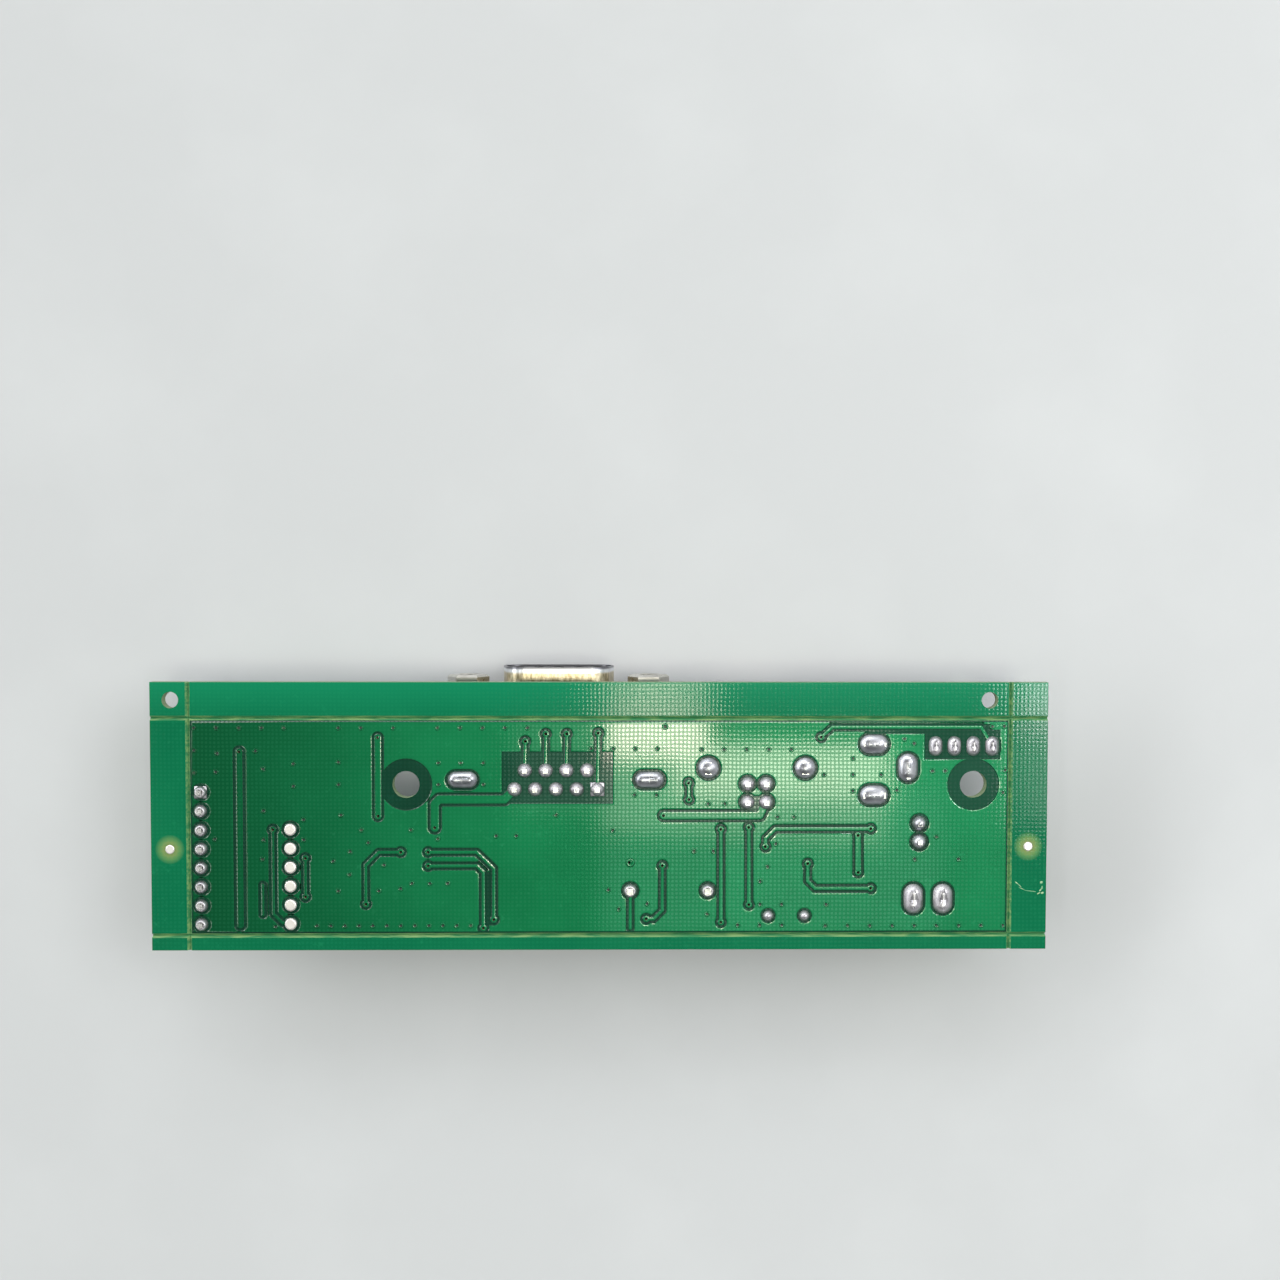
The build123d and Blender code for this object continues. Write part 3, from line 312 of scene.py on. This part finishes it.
def shell_finish():
    """Bright nickel on the drawn shell, with painted reflections: golden towards its flange, bluish white and
    bright towards its lip, and painted shade along the lip's edge.
    """
    finish = Finish("nickel_painted_reflections", "#d8d6d0", roughness=0.2, metallic=1.0)
    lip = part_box("serial_shell")[1][1]
    from_lip = finish.math("SUBTRACT", lip, finish.axis("Y"))
    grain = finish.noise(2400, 3, (1, 0.35, 1))
    # Painted reflections in the colour: golden from 0.9 mm behind the lip out to the flange, bright bluish white
    # within 0.6 mm of the lip.
    painted_golden_reflection = finish.mix(finish.span(grain, 0.35, 0.65), "#a09374", "#e2d6b8")
    painted_bright_reflection = finish.mix(grain, "#e6e8ee", "#f3f4f7")
    color = finish.mix(finish.span(from_lip, 0.6 * MM, 0.9 * MM), painted_bright_reflection, painted_golden_reflection)
    flange = finish.mix(grain, "#cfcdc8", "#dbdad6")
    color = finish.mix(finish.span(from_lip, 3 * MM, 3.6 * MM), color, flange)
    # Painted shade: a dark line along the lip's very edge.
    color = finish.mix(finish.span(from_lip, 0.12 * MM, 0.35 * MM), "#77777e", color)
    finish.color(color)
    finish.bump(grain, 0.001 * MM)
    finish.rough(grain, 0.32, 0.38)
    return finish.material


SHELL_NICKEL = shell_finish()


def plastic_finish(name, base, light, roughness, grain=900, relief=0.02):
    """Moulded plastic and the like: faint clouds and a fine grain."""
    finish = Finish(name, base, roughness=roughness)
    cloud = finish.noise(grain, 4)
    finish.color(finish.mix(finish.span(cloud, 0.45, 0.75), base, light))
    finish.bump(cloud, relief * MM)
    finish.rough(finish.noise(grain / 3, 3), roughness - 0.06, roughness + 0.08)
    return finish.material


BLACK_PLASTIC = plastic_finish("black_moulding", "#141415", "#242426", 0.42)
WHITE_NYLON = plastic_finish("natural_nylon", "#dcd6c4", "#ebe7da", 0.4, 500, 0.01)
EPOXY = plastic_finish("chip_moulding", "#1b1c1e", "#2d2e31", 0.55, 2200, 0.03)
RUBBER = plastic_finish("seal_rubber", "#1a1a1a", "#2c2b2a", 0.8)
CHIP_CERAMIC = plastic_finish("chip_ceramic", "#9c7a50", "#b8966a", 0.35, 2600, 0.01)
RESISTOR = plastic_finish("resistor_film", "#121214", "#20242c", 0.25, 2600, 0.01)


def sleeve_finish():
    """The capacitor's shrunk sleeve, with the pale stripe of its negative lead."""
    finish = Finish("capacitor_sleeve", "#12151d", roughness=0.3, coat=0.3)
    low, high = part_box("capacitor_can")
    axis = ((low[0] + high[0]) / 2, (low[1] + high[1]) / 2)
    height = finish.axis("Z")
    across = finish.math("ABSOLUTE", finish.math("SUBTRACT", finish.axis("X"), axis[0]), 0)
    in_stripe = finish.math("LESS_THAN", across, 1.0 * MM)
    on_side = finish.math("LESS_THAN", finish.axis("Y"), axis[1])
    above_end = finish.math("GREATER_THAN", height, 0.5 * MM)
    stripe = finish.math("MULTIPLY", finish.math("MULTIPLY", in_stripe, on_side), above_end)
    dashes = finish.math("LESS_THAN", finish.math("PINGPONG", height, 1.4 * MM), 0.9 * MM)
    sleeve = finish.mix(stripe, "#12151d", "#b7bcc4")
    in_dashes = finish.math("MULTIPLY", dashes, finish.math("LESS_THAN", across, 0.25 * MM))
    sleeve = finish.mix(finish.math("MULTIPLY", stripe, in_dashes), sleeve, "#12151d")
    end = finish.math("LESS_THAN", height, 0.35 * MM)
    finish.color(finish.mix(end, sleeve, "#b9bcbd"))
    finish.bump(finish.noise(700, 2), 0.02 * MM)
    return finish.material


SLEEVE = sleeve_finish()

# ---- The carried-over CAD nodes and their finishes ----
NODE_FINISHES = {
    "serial_shell": SHELL_NICKEL,
    "serial_brackets": ZINC,
    "jackscrews": JACKSCREW_NICKEL,
    "jackscrew_nuts": NICKEL,
    "serial_insulator": BLACK_PLASTIC,
    "serial_body": BLACK_PLASTIC,
    "serial_contacts_long": GOLD,
    "serial_contacts_short": GOLD,
    "data_socket_shell": NICKEL,
    "data_socket_core": WHITE_NYLON,
    "data_socket_contacts_upper": GOLD,
    "data_socket_contacts_lower": GOLD,
    "power_jack_housing": BLACK_PLASTIC,
    "power_jack_pin": TIN_PIN,
    "power_jack_spring": TIN_PIN,
    "power_jack_switch": TIN_PIN,
    "main_header_base": WHITE_NYLON,
    "main_header_pins": TIN_PIN,
    "side_header_base": BLACK_PLASTIC,
    "side_header_pins": TIN_PIN,
    "supply_header_base": WHITE_NYLON,
    "supply_header_pins": TIN_PIN,
    "capacitor_can": SLEEVE,
    "capacitor_seal": RUBBER,
    "capacitor_leads": TIN_PIN,
    "crystal_can": CAN_STEEL,
    "crystal_base": CAN_STEEL,
    "crystal_leads": TIN_PIN,
    "diode_body": EPOXY,
    "diode_leads": TIN_PIN,
    "controller_body": EPOXY,
    "controller_leads": TIN_PIN,
    "transceiver_body": EPOXY,
    "transceiver_leads": TIN_PIN,
    "driver_body": EPOXY,
    "driver_leads": TIN_PIN,
    "regulator_body": EPOXY,
    "regulator_leads": TIN_PIN,
    "regulator_tab": TIN_PIN,
    "chip_capacitors": CHIP_CERAMIC,
    "chip_resistors": RESISTOR,
    "chip_end_caps": FLAT_SOLDER,
    "spare_hole_solder": FLAT_SOLDER,
}
for name, finish in NODE_FINISHES.items():
    mesh = nodes[name].data
    mesh.materials.clear()
    mesh.materials.append(finish)


def piece(name, bm, materials, smooth=False, replaces=()):
    """A finished mesh as an object that rides on the board."""
    mesh = bpy.data.meshes.new(name)
    bm.to_mesh(mesh)
    bm.free()
    for material in materials:
        mesh.materials.append(material)
    for face in mesh.polygons:
        face.use_smooth = smooth
    made = bpy.data.objects.new(name, mesh)
    bpy.context.scene.collection.objects.link(made)
    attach(made, "root")
    if replaces:
        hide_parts(*replaces)
    return made


# ---- The board: its copper edges slope under the mask, and each surface has its finish ----
def slope_copper(bm):
    """Move the foot of each copper edge out over the laminate, so that the edge slopes."""
    moves = []
    for vert in bm.verts:
        if not near(vert.co.z, LAMINATE_TOP):
            continue
        away = Vector((0, 0, 0))
        for face in vert.link_faces:
            if is_copper_edge(face):
                away += Vector((face.normal.x, face.normal.y, 0)) * face.calc_area()
        if away.length > 0:
            moves.append((vert, away.normalized() * SLOPE_RUN))
    for vert, move in moves:
        vert.co += move


def is_copper_edge(face):
    """Whether a face is the wall between the laminate and the copper's top."""
    heights = [v.co.z for v in face.verts]
    return min(heights) > LAMINATE_TOP - ROUNDING and max(heights) - min(heights) > 0.5 * COPPER_STEP


SERIAL_LOW, SERIAL_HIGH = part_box("serial_solder")
SOCKET_LOW, SOCKET_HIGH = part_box("data_socket_solder")
HEADER_LOW, HEADER_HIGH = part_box("side_header_solder")


def in_wide_field(place):
    """Whether a place lies in the bare fields by the serial, data socket and side header joints."""
    by_serial = SERIAL_LOW[0] - 1.5 * MM < place.x < SERIAL_HIGH[0] + 1.8 * MM
    by_serial = by_serial and SERIAL_LOW[1] - 0.8 * MM < place.y < SERIAL_HIGH[1] + 3 * MM
    by_socket = abs(place.x - (SOCKET_LOW[0] + SOCKET_HIGH[0]) / 2) < 0.8 * MM
    by_socket = by_socket and SOCKET_LOW[1] - 0.5 * MM < place.y < SOCKET_LOW[1] + 2 * MM
    by_header = place.x > HEADER_LOW[0] - 1.5 * MM and place.y > HEADER_LOW[1] - 9.5 * MM
    by_track = place.x > HEADER_LOW[0] - 20 * MM and place.y > HEADER_HIGH[1] + 0.5 * MM
    return by_serial or by_socket or by_header or by_track


# A face whose normal rises by more than LEVEL is flat, and by less than UPRIGHT a wall.
LEVEL = 0.95
UPRIGHT = 0.2


def board_finish(face):
    """The finish of one of the board's faces, from its height, its slope and its place."""
    centre = face.calc_center_median()
    heights = [v.co.z for v in face.verts]
    if face.normal.z < -LEVEL:
        return MASK_UNDER
    if min(heights) > LAMINATE_TOP - ROUNDING:
        if on_rail(centre):
            return FLAT_SOLDER if max(heights) > LAMINATE_TOP + ROUNDING else MASK_RAIL
        if near(min(heights), COPPER_TOP):
            return MASK_COPPER
        if is_copper_edge(face):
            return MASK_EDGE
        return MASK_FIELD if in_wide_field(centre) else MASK_GAP
    if UPRIGHT < abs(face.normal.z) < LEVEL:
        return SCORED
    return CUT_EDGE


def mask_shoulders(bm):
    """The mask's rounded shoulder along each copper edge: a closed strip with normals that lean to the gap."""
    leans = {}
    edges = []
    for edge in bm.edges:
        if not all(near(v.co.z, COPPER_TOP) for v in edge.verts) or on_rail(edge.verts[0].co):
            continue
        walls = [face for face in edge.link_faces if is_copper_edge(face)]
        if len(walls) != 1 or len(edge.link_faces) != 2:
            continue
        lean = Vector((walls[0].normal.x, walls[0].normal.y, 0)).normalized()
        edges.append(edge)
        for vert in edge.verts:
            leans.setdefault(vert.index, [vert.co.copy()]).append(lean)
    strip = bmesh.new()
    rows = {}
    normals = []
    for index, (place, *sides) in leans.items():
        lean = sum(sides, Vector()).normalized()
        reach = SHOULDER / max(0.6, lean.dot(sides[0]))
        rows[index] = []
        # The strip's corners: the way in from the edge, the drop, and the lean of the surface in degrees.
        for inward, drop, tilt in ((0, 0, 6.5), (reach, 0, 2.5), (reach, 0.02 * MM, 0), (0, 0.02 * MM, 0)):
            up = Vector((0, 0, 0.003 * MM - drop))
            rows[index].append(strip.verts.new(place - lean * inward + up))
            angle = math.radians(tilt)
            normals.append(lean * math.sin(angle) + Vector((0, 0, math.cos(angle))))
    for edge in edges:
        a, b = (rows[vert.index] for vert in edge.verts)
        for i in range(4):
            strip.faces.new((a[i], a[(i + 1) % 4], b[(i + 1) % 4], b[i]))
    bmesh.ops.recalc_face_normals(strip, faces=strip.faces)
    return strip, normals


board = merged("circuit_board")
slope_copper(board)
board.normal_update()
board.verts.index_update()
shoulders, leaning = mask_shoulders(board)
shoulders = piece("mask_shoulders", shoulders, [MASK_COPPER], smooth=True)
shoulders.data.normals_split_custom_set_from_vertices(leaning)
BOARD_FINISHES = [
    MASK_COPPER, MASK_FIELD, MASK_RAIL, MASK_UNDER, SCORED, CUT_EDGE, FLAT_SOLDER, MASK_GAP, MASK_EDGE,
]
for face in board.faces:
    face.material_index = BOARD_FINISHES.index(board_finish(face))
piece("board", board, BOARD_FINISHES, replaces=["circuit_board"])


# ---- Solder: a rounded mound on each pad ----
def islands(node):
    """Box of each solid in a node, in order of place, and whether its plan is square."""
    bm = merged(node)
    found = []
    left = set(bm.verts)
    while left:
        start = left.pop()
        group = [start]
        stack = [start]
        while stack:
            for edge in stack.pop().link_edges:
                for vert in edge.verts:
                    if vert in left:
                        left.remove(vert)
                        group.append(vert)
                        stack.append(vert)
        low = Vector([min(v.co[i] for v in group) for i in range(3)])
        high = Vector([max(v.co[i] for v in group) for i in range(3)])
        is_square = any((v.co.xy - high.xy).length < 0.05 * MM for v in group)
        found.append((low, high, is_square))
    bm.free()
    # A set has no order of its own, and the mounds draw their unevenness in this order.
    return sorted(found, key=lambda box: (box[0].x, box[0].y))


# Profiles from the rim in, as shares of the half width and of the height.
DOME = (
    (0.04, 0.09), (0.12, 0.26), (0.24, 0.48), (0.38, 0.67), (0.54, 0.83), (0.70, 0.93), (0.85, 0.985), (0.94, 1.0),
)
TIPPED = (
    (0.04, 0.12), (0.12, 0.32), (0.24, 0.56), (0.37, 0.76), (0.49, 0.90), (0.59, 1.03), (0.70, 1.16), (0.86, 1.22),
)
CUPPED = (
    (0.04, 0.20), (0.13, 0.52), (0.24, 0.82), (0.35, 0.98), (0.45, 1.0), (0.55, 0.88), (0.64, 0.74), (0.74, 0.70),
)
# How far solder reaches past its pad's outline.
SPREAD = 0.1 * MM


def raise_along(bm, face, profile, short, tall):
    """Draw a face in and up along a profile, and close it in a point."""
    done_in, done_up = 0.0, 0.0
    for run, rise in profile:
        face.normal_update()
        bmesh.ops.inset_region(
            bm, faces=[face], thickness=(run - done_in) * short, depth=(rise - done_up) * tall,
            use_boundary=True, use_even_offset=True,
        )
        done_in, done_up = run, rise
    bmesh.ops.poke(bm, faces=[face])


def mound(bm, low, high, is_square, profile, rng, sway, lobes, flat):
    """A mound drawn in and up from its outline, a little uneven, on a square foot if its pad is square."""
    middle = (low + high) / 2
    size = Vector((high.x - low.x + 2 * SPREAD, high.y - low.y + 2 * SPREAD))
    short = min(size) / 2
    bed = LAMINATE_TOP + 0.01 * MM
    tall = (high.z - bed) * flat
    before = set(bm.verts)
    ring = bmesh.ops.create_circle(bm, cap_ends=True, radius=short, segments=28)["verts"]
    for vert in ring:
        vert.co.x += math.copysign(size.x / 2 - short, vert.co.x) if abs(vert.co.x) > 1e-7 else 0
        vert.co.y += math.copysign(size.y / 2 - short, vert.co.y) if abs(vert.co.y) > 1e-7 else 0
    bmesh.ops.translate(bm, verts=ring, vec=(middle.x, middle.y, bed))
    raise_along(bm, ring[0].link_faces[0], profile, short, tall)
    seed = Vector((rng.random(), rng.random(), rng.random())) * 40
    long_axis = 0 if size.x > size.y else 1
    for vert in set(bm.verts) - before:
        up = (vert.co.z - bed) / tall
        wave = noise.noise(vert.co * 420 + seed)
        offset = abs(vert.co[long_axis] - middle[long_axis]) / (size[long_axis] / 2)
        vert.co.z += up * (wave * sway - lobes * math.exp(-((offset / 0.3) ** 2)))
    if is_square:
        corners = bmesh.ops.create_circle(bm, cap_ends=True, radius=short * 1.38, segments=4)["verts"]
        bmesh.ops.rotate(bm, verts=corners, matrix=Matrix.Rotation(math.pi / 4, 3, "Z"))
        bmesh.ops.translate(bm, verts=corners, vec=(middle.x, middle.y, bed))
        raise_along(bm, corners[0].link_faces[0], ((0.08, 0.16), (0.3, 0.3), (0.6, 0.36)), short, tall)


def close_under(bm):
    """Close the open undersides of shells, and turn their faces outwards."""
    bmesh.ops.holes_fill(bm, edges=[edge for edge in bm.edges if edge.is_boundary], sides=0)
    bmesh.ops.recalc_face_normals(bm, faces=bm.faces)


def solder_piece(node, profile, finish, sway=0.08 * MM, lobes=0.0, flat=1.0):
    """A node's pads as mounds that sway, dip in their middle and are flattened by these amounts."""
    rng = random.Random(node)
    bm = bmesh.new()
    for low, high, is_square in islands(node):
        mound(bm, low, high, is_square, profile, rng, sway, lobes, flat)
    close_under(bm)
    piece(node.replace("_solder", "_joints"), bm, [finish], smooth=True, replaces=[node])


solder_piece("serial_solder", TIPPED, FROSTED_SOLDER, 0.04 * MM)
solder_piece("data_socket_solder", TIPPED, FROSTED_SOLDER, 0.04 * MM)
solder_piece("main_header_solder", CUPPED, FROSTED_SOLDER, 0.02 * MM)
solder_piece("bracket_solder", DOME, SOLDER, 0.04 * MM, lobes=0.12 * MM, flat=0.85)
solder_piece("socket_post_solder", DOME, SOLDER, 0.03 * MM, flat=0.85)
solder_piece("power_jack_solder", DOME, SOLDER, 0.05 * MM, flat=0.85)
solder_piece("side_header_solder", DOME, FROSTED_SOLDER, 0.04 * MM, lobes=0.06 * MM, flat=0.9)
solder_piece("supply_header_solder", DOME, FROSTED_SOLDER, 0.12 * MM, lobes=0.08 * MM, flat=0.9)
solder_piece("capacitor_solder", DOME, SOLDER, flat=1.2)
solder_piece("crystal_solder", DOME, FROSTED_SOLDER)
solder_piece("diode_solder", CUPPED, FROSTED_SOLDER)

# ---- Vias: a rim of mask round a dimple, and other small marks in the mask ----
# The dark disc in each via's middle is painted shade, standing in for the depth of the via's hole; the blot in the
# mask takes the same dark colour as a real stain.
VIA_SHADE_AND_BLOT = Finish("via_shade_and_blot", "#0c2a19", roughness=0.35)
VIA_SHADE_AND_BLOT.color(VIA_SHADE_AND_BLOT.mix(VIA_SHADE_AND_BLOT.span(VIA_SHADE_AND_BLOT.noise(260, 1), 0.5, 0.7), "#08241a", "#1f3f26"))
VIA_SHADE_AND_BLOT.bump(VIA_SHADE_AND_BLOT.noise(3000, 2), 0.01 * MM)
# Runs of vias: first place from the board's middle, step, and how many.
VIA_RUNS = (
    (-54.2, 11.9, 3, 0, 5), (-35, 11.9, 3, 0, 2), (-27.7, 11.9, 3, 0, 1), (-21.8, 11.9, 3, 0, 5),
    (52.5, 12.1, 1.6, 0, 2), (40.7, 10.4, 1.3, -0.6, 2), (-54.2, 8.9, 0, -3, 2), (-51.1, 8.5, 5.1, 0.3, 2),
    (-1.3, 9.1, 2.95, 0, 4), (13.5, 9, 3, 0, 5), (33.8, 7.8, 0, -2.2, 3), (-41, 7.1, 0, -3, 2),
    (-35, 7.3, 0, -3, 2), (-21.7, 7.2, 3, 0, 3), (-21.7, 4.3, 6, 0, 2), (-51.3, 6, 6.3, 0.4, 2),
    (29.9, 5.6, 7.7, 0, 2), (44.5, 6.1, 1.7, 0, 2), (54.3, 6.2, -0.3, -3, 2), (39.7, 3.5, 0, 0, 1),
    (4.5, 2.9, 2.95, 0, 2), (14.4, 1.7, 2.2, 0, 2), (-45, 0.8, 0, -3.9, 2), (-39.7, -0.4, 0, -2.7, 2),
    (-34.7, 0.2, 0, 0, 1), (-6, 0.2, 0, 0, 1), (23.7, -0.1, 2.2, 0, 2), (-32, -1.8, 6.6, 0, 2),
    (1.6, -1.9, 0, 0, 1), (-51.5, -3, 6, 0, 1), (-21.8, -3, 0, 0, 1), (-14, -2.6, 2.7, 0, 2),
    (45.1, -2.8, 0, 0, 1), (-31.1, -3.5, -2.4, -1.2, 2), (23.5, -3.7, -1.1, -3.1, 2), (12.5, -4.7, 2.6, 0, 2),
    (-45.2, -5.7, 0, 0, 1), (-35.8, -6, 6.8, -0.5, 2), (3.8, -6.2, 0, 0, 1), (42.2, -5.8, 5.9, 0, 2),
    (-33.6, -7.8, 0, 0, 1), (-25.3, -9, 2.4, 0, 3), (21.4, -8.8, 0, -3.1, 2), (-35.1, -10, 5.4, 0, 2),
    (-26.8, -9.7, 0, 0, 1), (1, -9.9, 1.4, -2.6, 2), (6.2, -11.8, 0, 0, 1), (24.3, -11.9, 6, 0, 2),
    (14.3, -13.2, 0, 0, 1), (-43.5, -14.8, 0, 0, 1), (-38, -14.7, 1.87, 0, 12), (18.4, -14.7, 2.97, 0, 3),
    (30.2, -14.8, 3, 0, 9),
)
# A blister and a blot in the mask, from the board's middle.
BLISTER = (3.95, -6.23)
BLOT = (8.6, 12.07)
# Profile of a via: distance from its middle and height above the copper.
VIA_PROFILE = ((0.38, 0.0), (0.30, 0.016), (0.22, 0.014), (0.19, 0.004))


def via(bm, x, y, spread=1.0):
    """A ring drawn from its profile, its middle face left for the dark disc: painted shade in a via, a real stain
    in the blot.
    """
    centre = Vector((BOARD_MIDDLE.x + x * MM, BOARD_MIDDLE.y + y * MM, COPPER_TOP))
    outer = VIA_PROFILE[0][0] * MM * spread
    ring = bmesh.ops.create_circle(bm, cap_ends=True, radius=outer, segments=14)["verts"]
    bmesh.ops.translate(bm, verts=ring, vec=centre)
    face = ring[0].link_faces[0]
    for (r0, h0), (r1, h1) in zip(VIA_PROFILE, VIA_PROFILE[1:]):
        bmesh.ops.inset_region(
            bm, faces=[face], thickness=(r0 - r1) * MM * spread, depth=(h1 - h0) * MM, use_boundary=True
        )
    # The middle takes the dark disc: painted shade in a via, the stain in the blot.
    face.material_index = 1


rings = bmesh.new()
for x, y, step_x, step_y, count in VIA_RUNS:
    for i in range(count):
        via(rings, x + i * step_x, y + i * step_y)
close_under(rings)
piece("stitching_vias", rings, [MASK_COPPER, VIA_SHADE_AND_BLOT.material], smooth=True)

# ---- Small marks: a blister and a blot in the mask, nicks and scratches on the right-hand rail ----
marks = bmesh.new()
via(marks, *BLISTER, spread=1.7)
for face in marks.faces:
    face.material_index = 0
via(marks, *BLOT, spread=1.25)
close_under(marks)
piece("mask_marks", marks, [MASK_COPPER, VIA_SHADE_AND_BLOT.material], smooth=True)

TORN = laminate_finish("torn_mask", "#5f9f74", "#b9d3a6", 0.4)
RIGHT_DOT = FIDUCIALS[1]
# Scratches: place from the right-hand fiducial, length, width and turn.
SCRATCHES = (
    (-1.25, -5.15, 1.15, 0.10, -0.75), (-0.75, -5.75, 1.0, 0.09, -0.45), (0.35, -6.05, 1.6, 0.12, -0.12),
    (1.75, -5.9, 0.5, 0.2, 0.9), (1.85, -4.9, 0.42, 0.34, 1.2), (1.95, -5.6, 0.5, 0.22, 1.4),
    (2.0, -6.3, 0.4, 0.26, 0.3), (1.5, -6.35, 0.5, 0.12, 0.5), (-1.6, -4.9, 0.4, 0.08, -1.0),
)


def scratch(bm, x, y, length, width, turn):
    """A torn fleck: a pointed oval, its middle a little proud of the mask."""
    bmesh.ops.create_circle(bm, cap_ends=True, radius=0.5, segments=10)
    loose = [v for v in bm.verts if not v.tag]
    flat = Matrix.Diagonal((length * MM, width * MM, 1, 1))
    place = Matrix.Translation((RIGHT_DOT.x + x * MM, RIGHT_DOT.y + y * MM, LAMINATE_TOP + 0.002 * MM))
    bmesh.ops.transform(bm, verts=loose, matrix=place @ Matrix.Rotation(turn, 4, "Z") @ flat)
    top = loose[0].link_faces[0]
    top.normal_update()
    bmesh.ops.inset_region(bm, faces=[top], thickness=0.2 * width * MM, depth=0.012 * MM, use_boundary=True)
    for vert in bm.verts:
        vert.tag = True


flecks = bmesh.new()
for mark in SCRATCHES:
    scratch(flecks, *mark)
close_under(flecks)
piece("rail_scratches", flecks, [TORN])

# ---- Floor, lamps and camera ----
FLOOR = plastic_finish("floor", "#c6c8ca", "#cbcdcf", 0.75, 30, 0.01)
bpy.ops.mesh.primitive_plane_add(size=6, location=(0, 0, 0))
floor = bpy.context.object
floor.name = "floor"
floor.data.materials.append(FLOOR)

world = bpy.data.worlds.new("studio")
bpy.context.scene.world = world
world.use_nodes = True
tree = world.node_tree
background = tree.nodes["Background"]
direction = tree.nodes.new("ShaderNodeTexCoord")
split = tree.nodes.new("ShaderNodeSeparateXYZ")
tree.links.new(direction.outputs["Generated"], split.inputs["Vector"])


def sky_span(value, low, high, to_low=0.0, to_high=1.0):
    """Strength across the sky as a value of its direction goes from low to high."""
    ramp = tree.nodes.new("ShaderNodeMapRange")
    ramp.interpolation_type = "SMOOTHSTEP"
    for key, number in (("From Min", low), ("From Max", high), ("To Min", to_low), ("To Max", to_high)):
        ramp.inputs[key].default_value = number
    tree.links.new(value, ramp.inputs["Value"])
    return ramp.outputs["Result"]


def sky_math(operation, first, second):
    """Two strengths across the sky, combined."""
    node = tree.nodes.new("ShaderNodeMath")
    node.operation = operation
    tree.links.new(first, node.inputs[0])
    tree.links.new(second, node.inputs[1])
    return node.outputs["Value"]


across, along, upward = split.outputs["X"], split.outputs["Y"], split.outputs["Z"]
side_glow = sky_math("MULTIPLY", sky_span(across, -0.12, 0.28, 0.0, 0.42), sky_span(along, -0.28, -0.1, 0.3, 1.0))
low_window = sky_math("MULTIPLY", sky_span(upward, 0.32, 0.4, 0.0, 5.0), sky_span(upward, 0.54, 0.64, 1.0, 0.0))
low_window = sky_math("MULTIPLY", low_window, sky_span(sky_math("SUBTRACT", along, across), 0.55, 0.85))
sky = sky_math("ADD", sky_span(upward, 0.0, 1.0, 0.48, 0.03), side_glow)
tree.links.new(sky_math("ADD", sky, low_window), background.inputs["Strength"])
background.inputs["Color"].default_value = (0.97, 0.99, 1.0, 1)


def lamp(name, place, size_x, size_y, power, aim=None, turn=0.0, color=(1, 1, 1)):
    """A soft rectangular lamp, turned towards a point or else straight down."""
    data = bpy.data.lights.new(name, "AREA")
    data.shape = "RECTANGLE"
    data.size = size_x
    data.size_y = size_y
    data.energy = power
    made = bpy.data.objects.new(name, data)
    made.location = place
    data.color = color
    made.rotation_euler = (0, 0, turn)
    if aim:
        made.rotation_euler = (Vector(aim) - Vector(place)).to_track_quat("-Z", "Y").to_euler()
    bpy.context.scene.collection.objects.link(made)


BOARD = (0, 0, 0.014)
CEILING = 1.514
lamp("ceiling_lamp", (0.046, -0.119, CEILING), 0.125, 0.12, 1.45, color=(1.0, 0.90, 0.74))
lamp("ceiling_panel", (0.203, -0.194, CEILING), 0.268, 0.068, 1.0, color=(0.94, 1.0, 0.78))
lamp("middle_panel", (0.155, -0.230, CEILING), 0.352, 0.093, 0.60, turn=-0.05, color=(0.84, 1.0, 0.80))
lamp("left_panel", (-0.032, -0.179, CEILING), 0.204, 0.130, 0.13, color=(0.70, 1.0, 0.80))
lamp("low_panel", (0.190, -0.308, CEILING), 0.426, 0.185, 0.38, color=(0.55, 1.0, 0.84))
lamp("top_panel", (0.227, 0.012, CEILING), 0.509, 0.130, 2.5, color=(1.0, 0.97, 0.88))
lamp("shoulder_panel", (-0.700, -0.150, CEILING), 0.150, 0.700, 2.0)
lamp("far_panel", (0.537, -0.100, CEILING), 0.083, 0.093, 0.9)
lamp("rail_panel", (0.532, -0.207, CEILING), 0.083, 0.111, 0.3)
lamp("left_window", (-1.12, 0.32, 0.65), 0.6, 0.5, 0.9, aim=BOARD, color=(1, 0.96, 0.86))
lamp("front_window", (0.2, 1.0, 1.0), 0.9, 0.5, 1.4, aim=BOARD)
lamp("side_softbox", (0.36, 0.16, 0.45), 0.3, 0.3, 1.1, aim=BOARD)

camera_data = bpy.data.cameras.new("camera")
camera_data.sensor_width = 36
camera_data.lens = 38.35
camera_data.clip_start = 0.01
camera = bpy.data.objects.new("camera", camera_data)
camera.matrix_world = Matrix((
    (0.99991, -0.00090, -0.01321, 0.00282),
    (0.00138, 0.99936, 0.03579, 0.02928),
    (0.01317, -0.03580, 0.99928, 0.19576),
    (0, 0, 0, 1),
))
bpy.context.scene.collection.objects.link(camera)
bpy.context.scene.camera = camera
bpy.context.scene.view_settings.view_transform = "Standard"
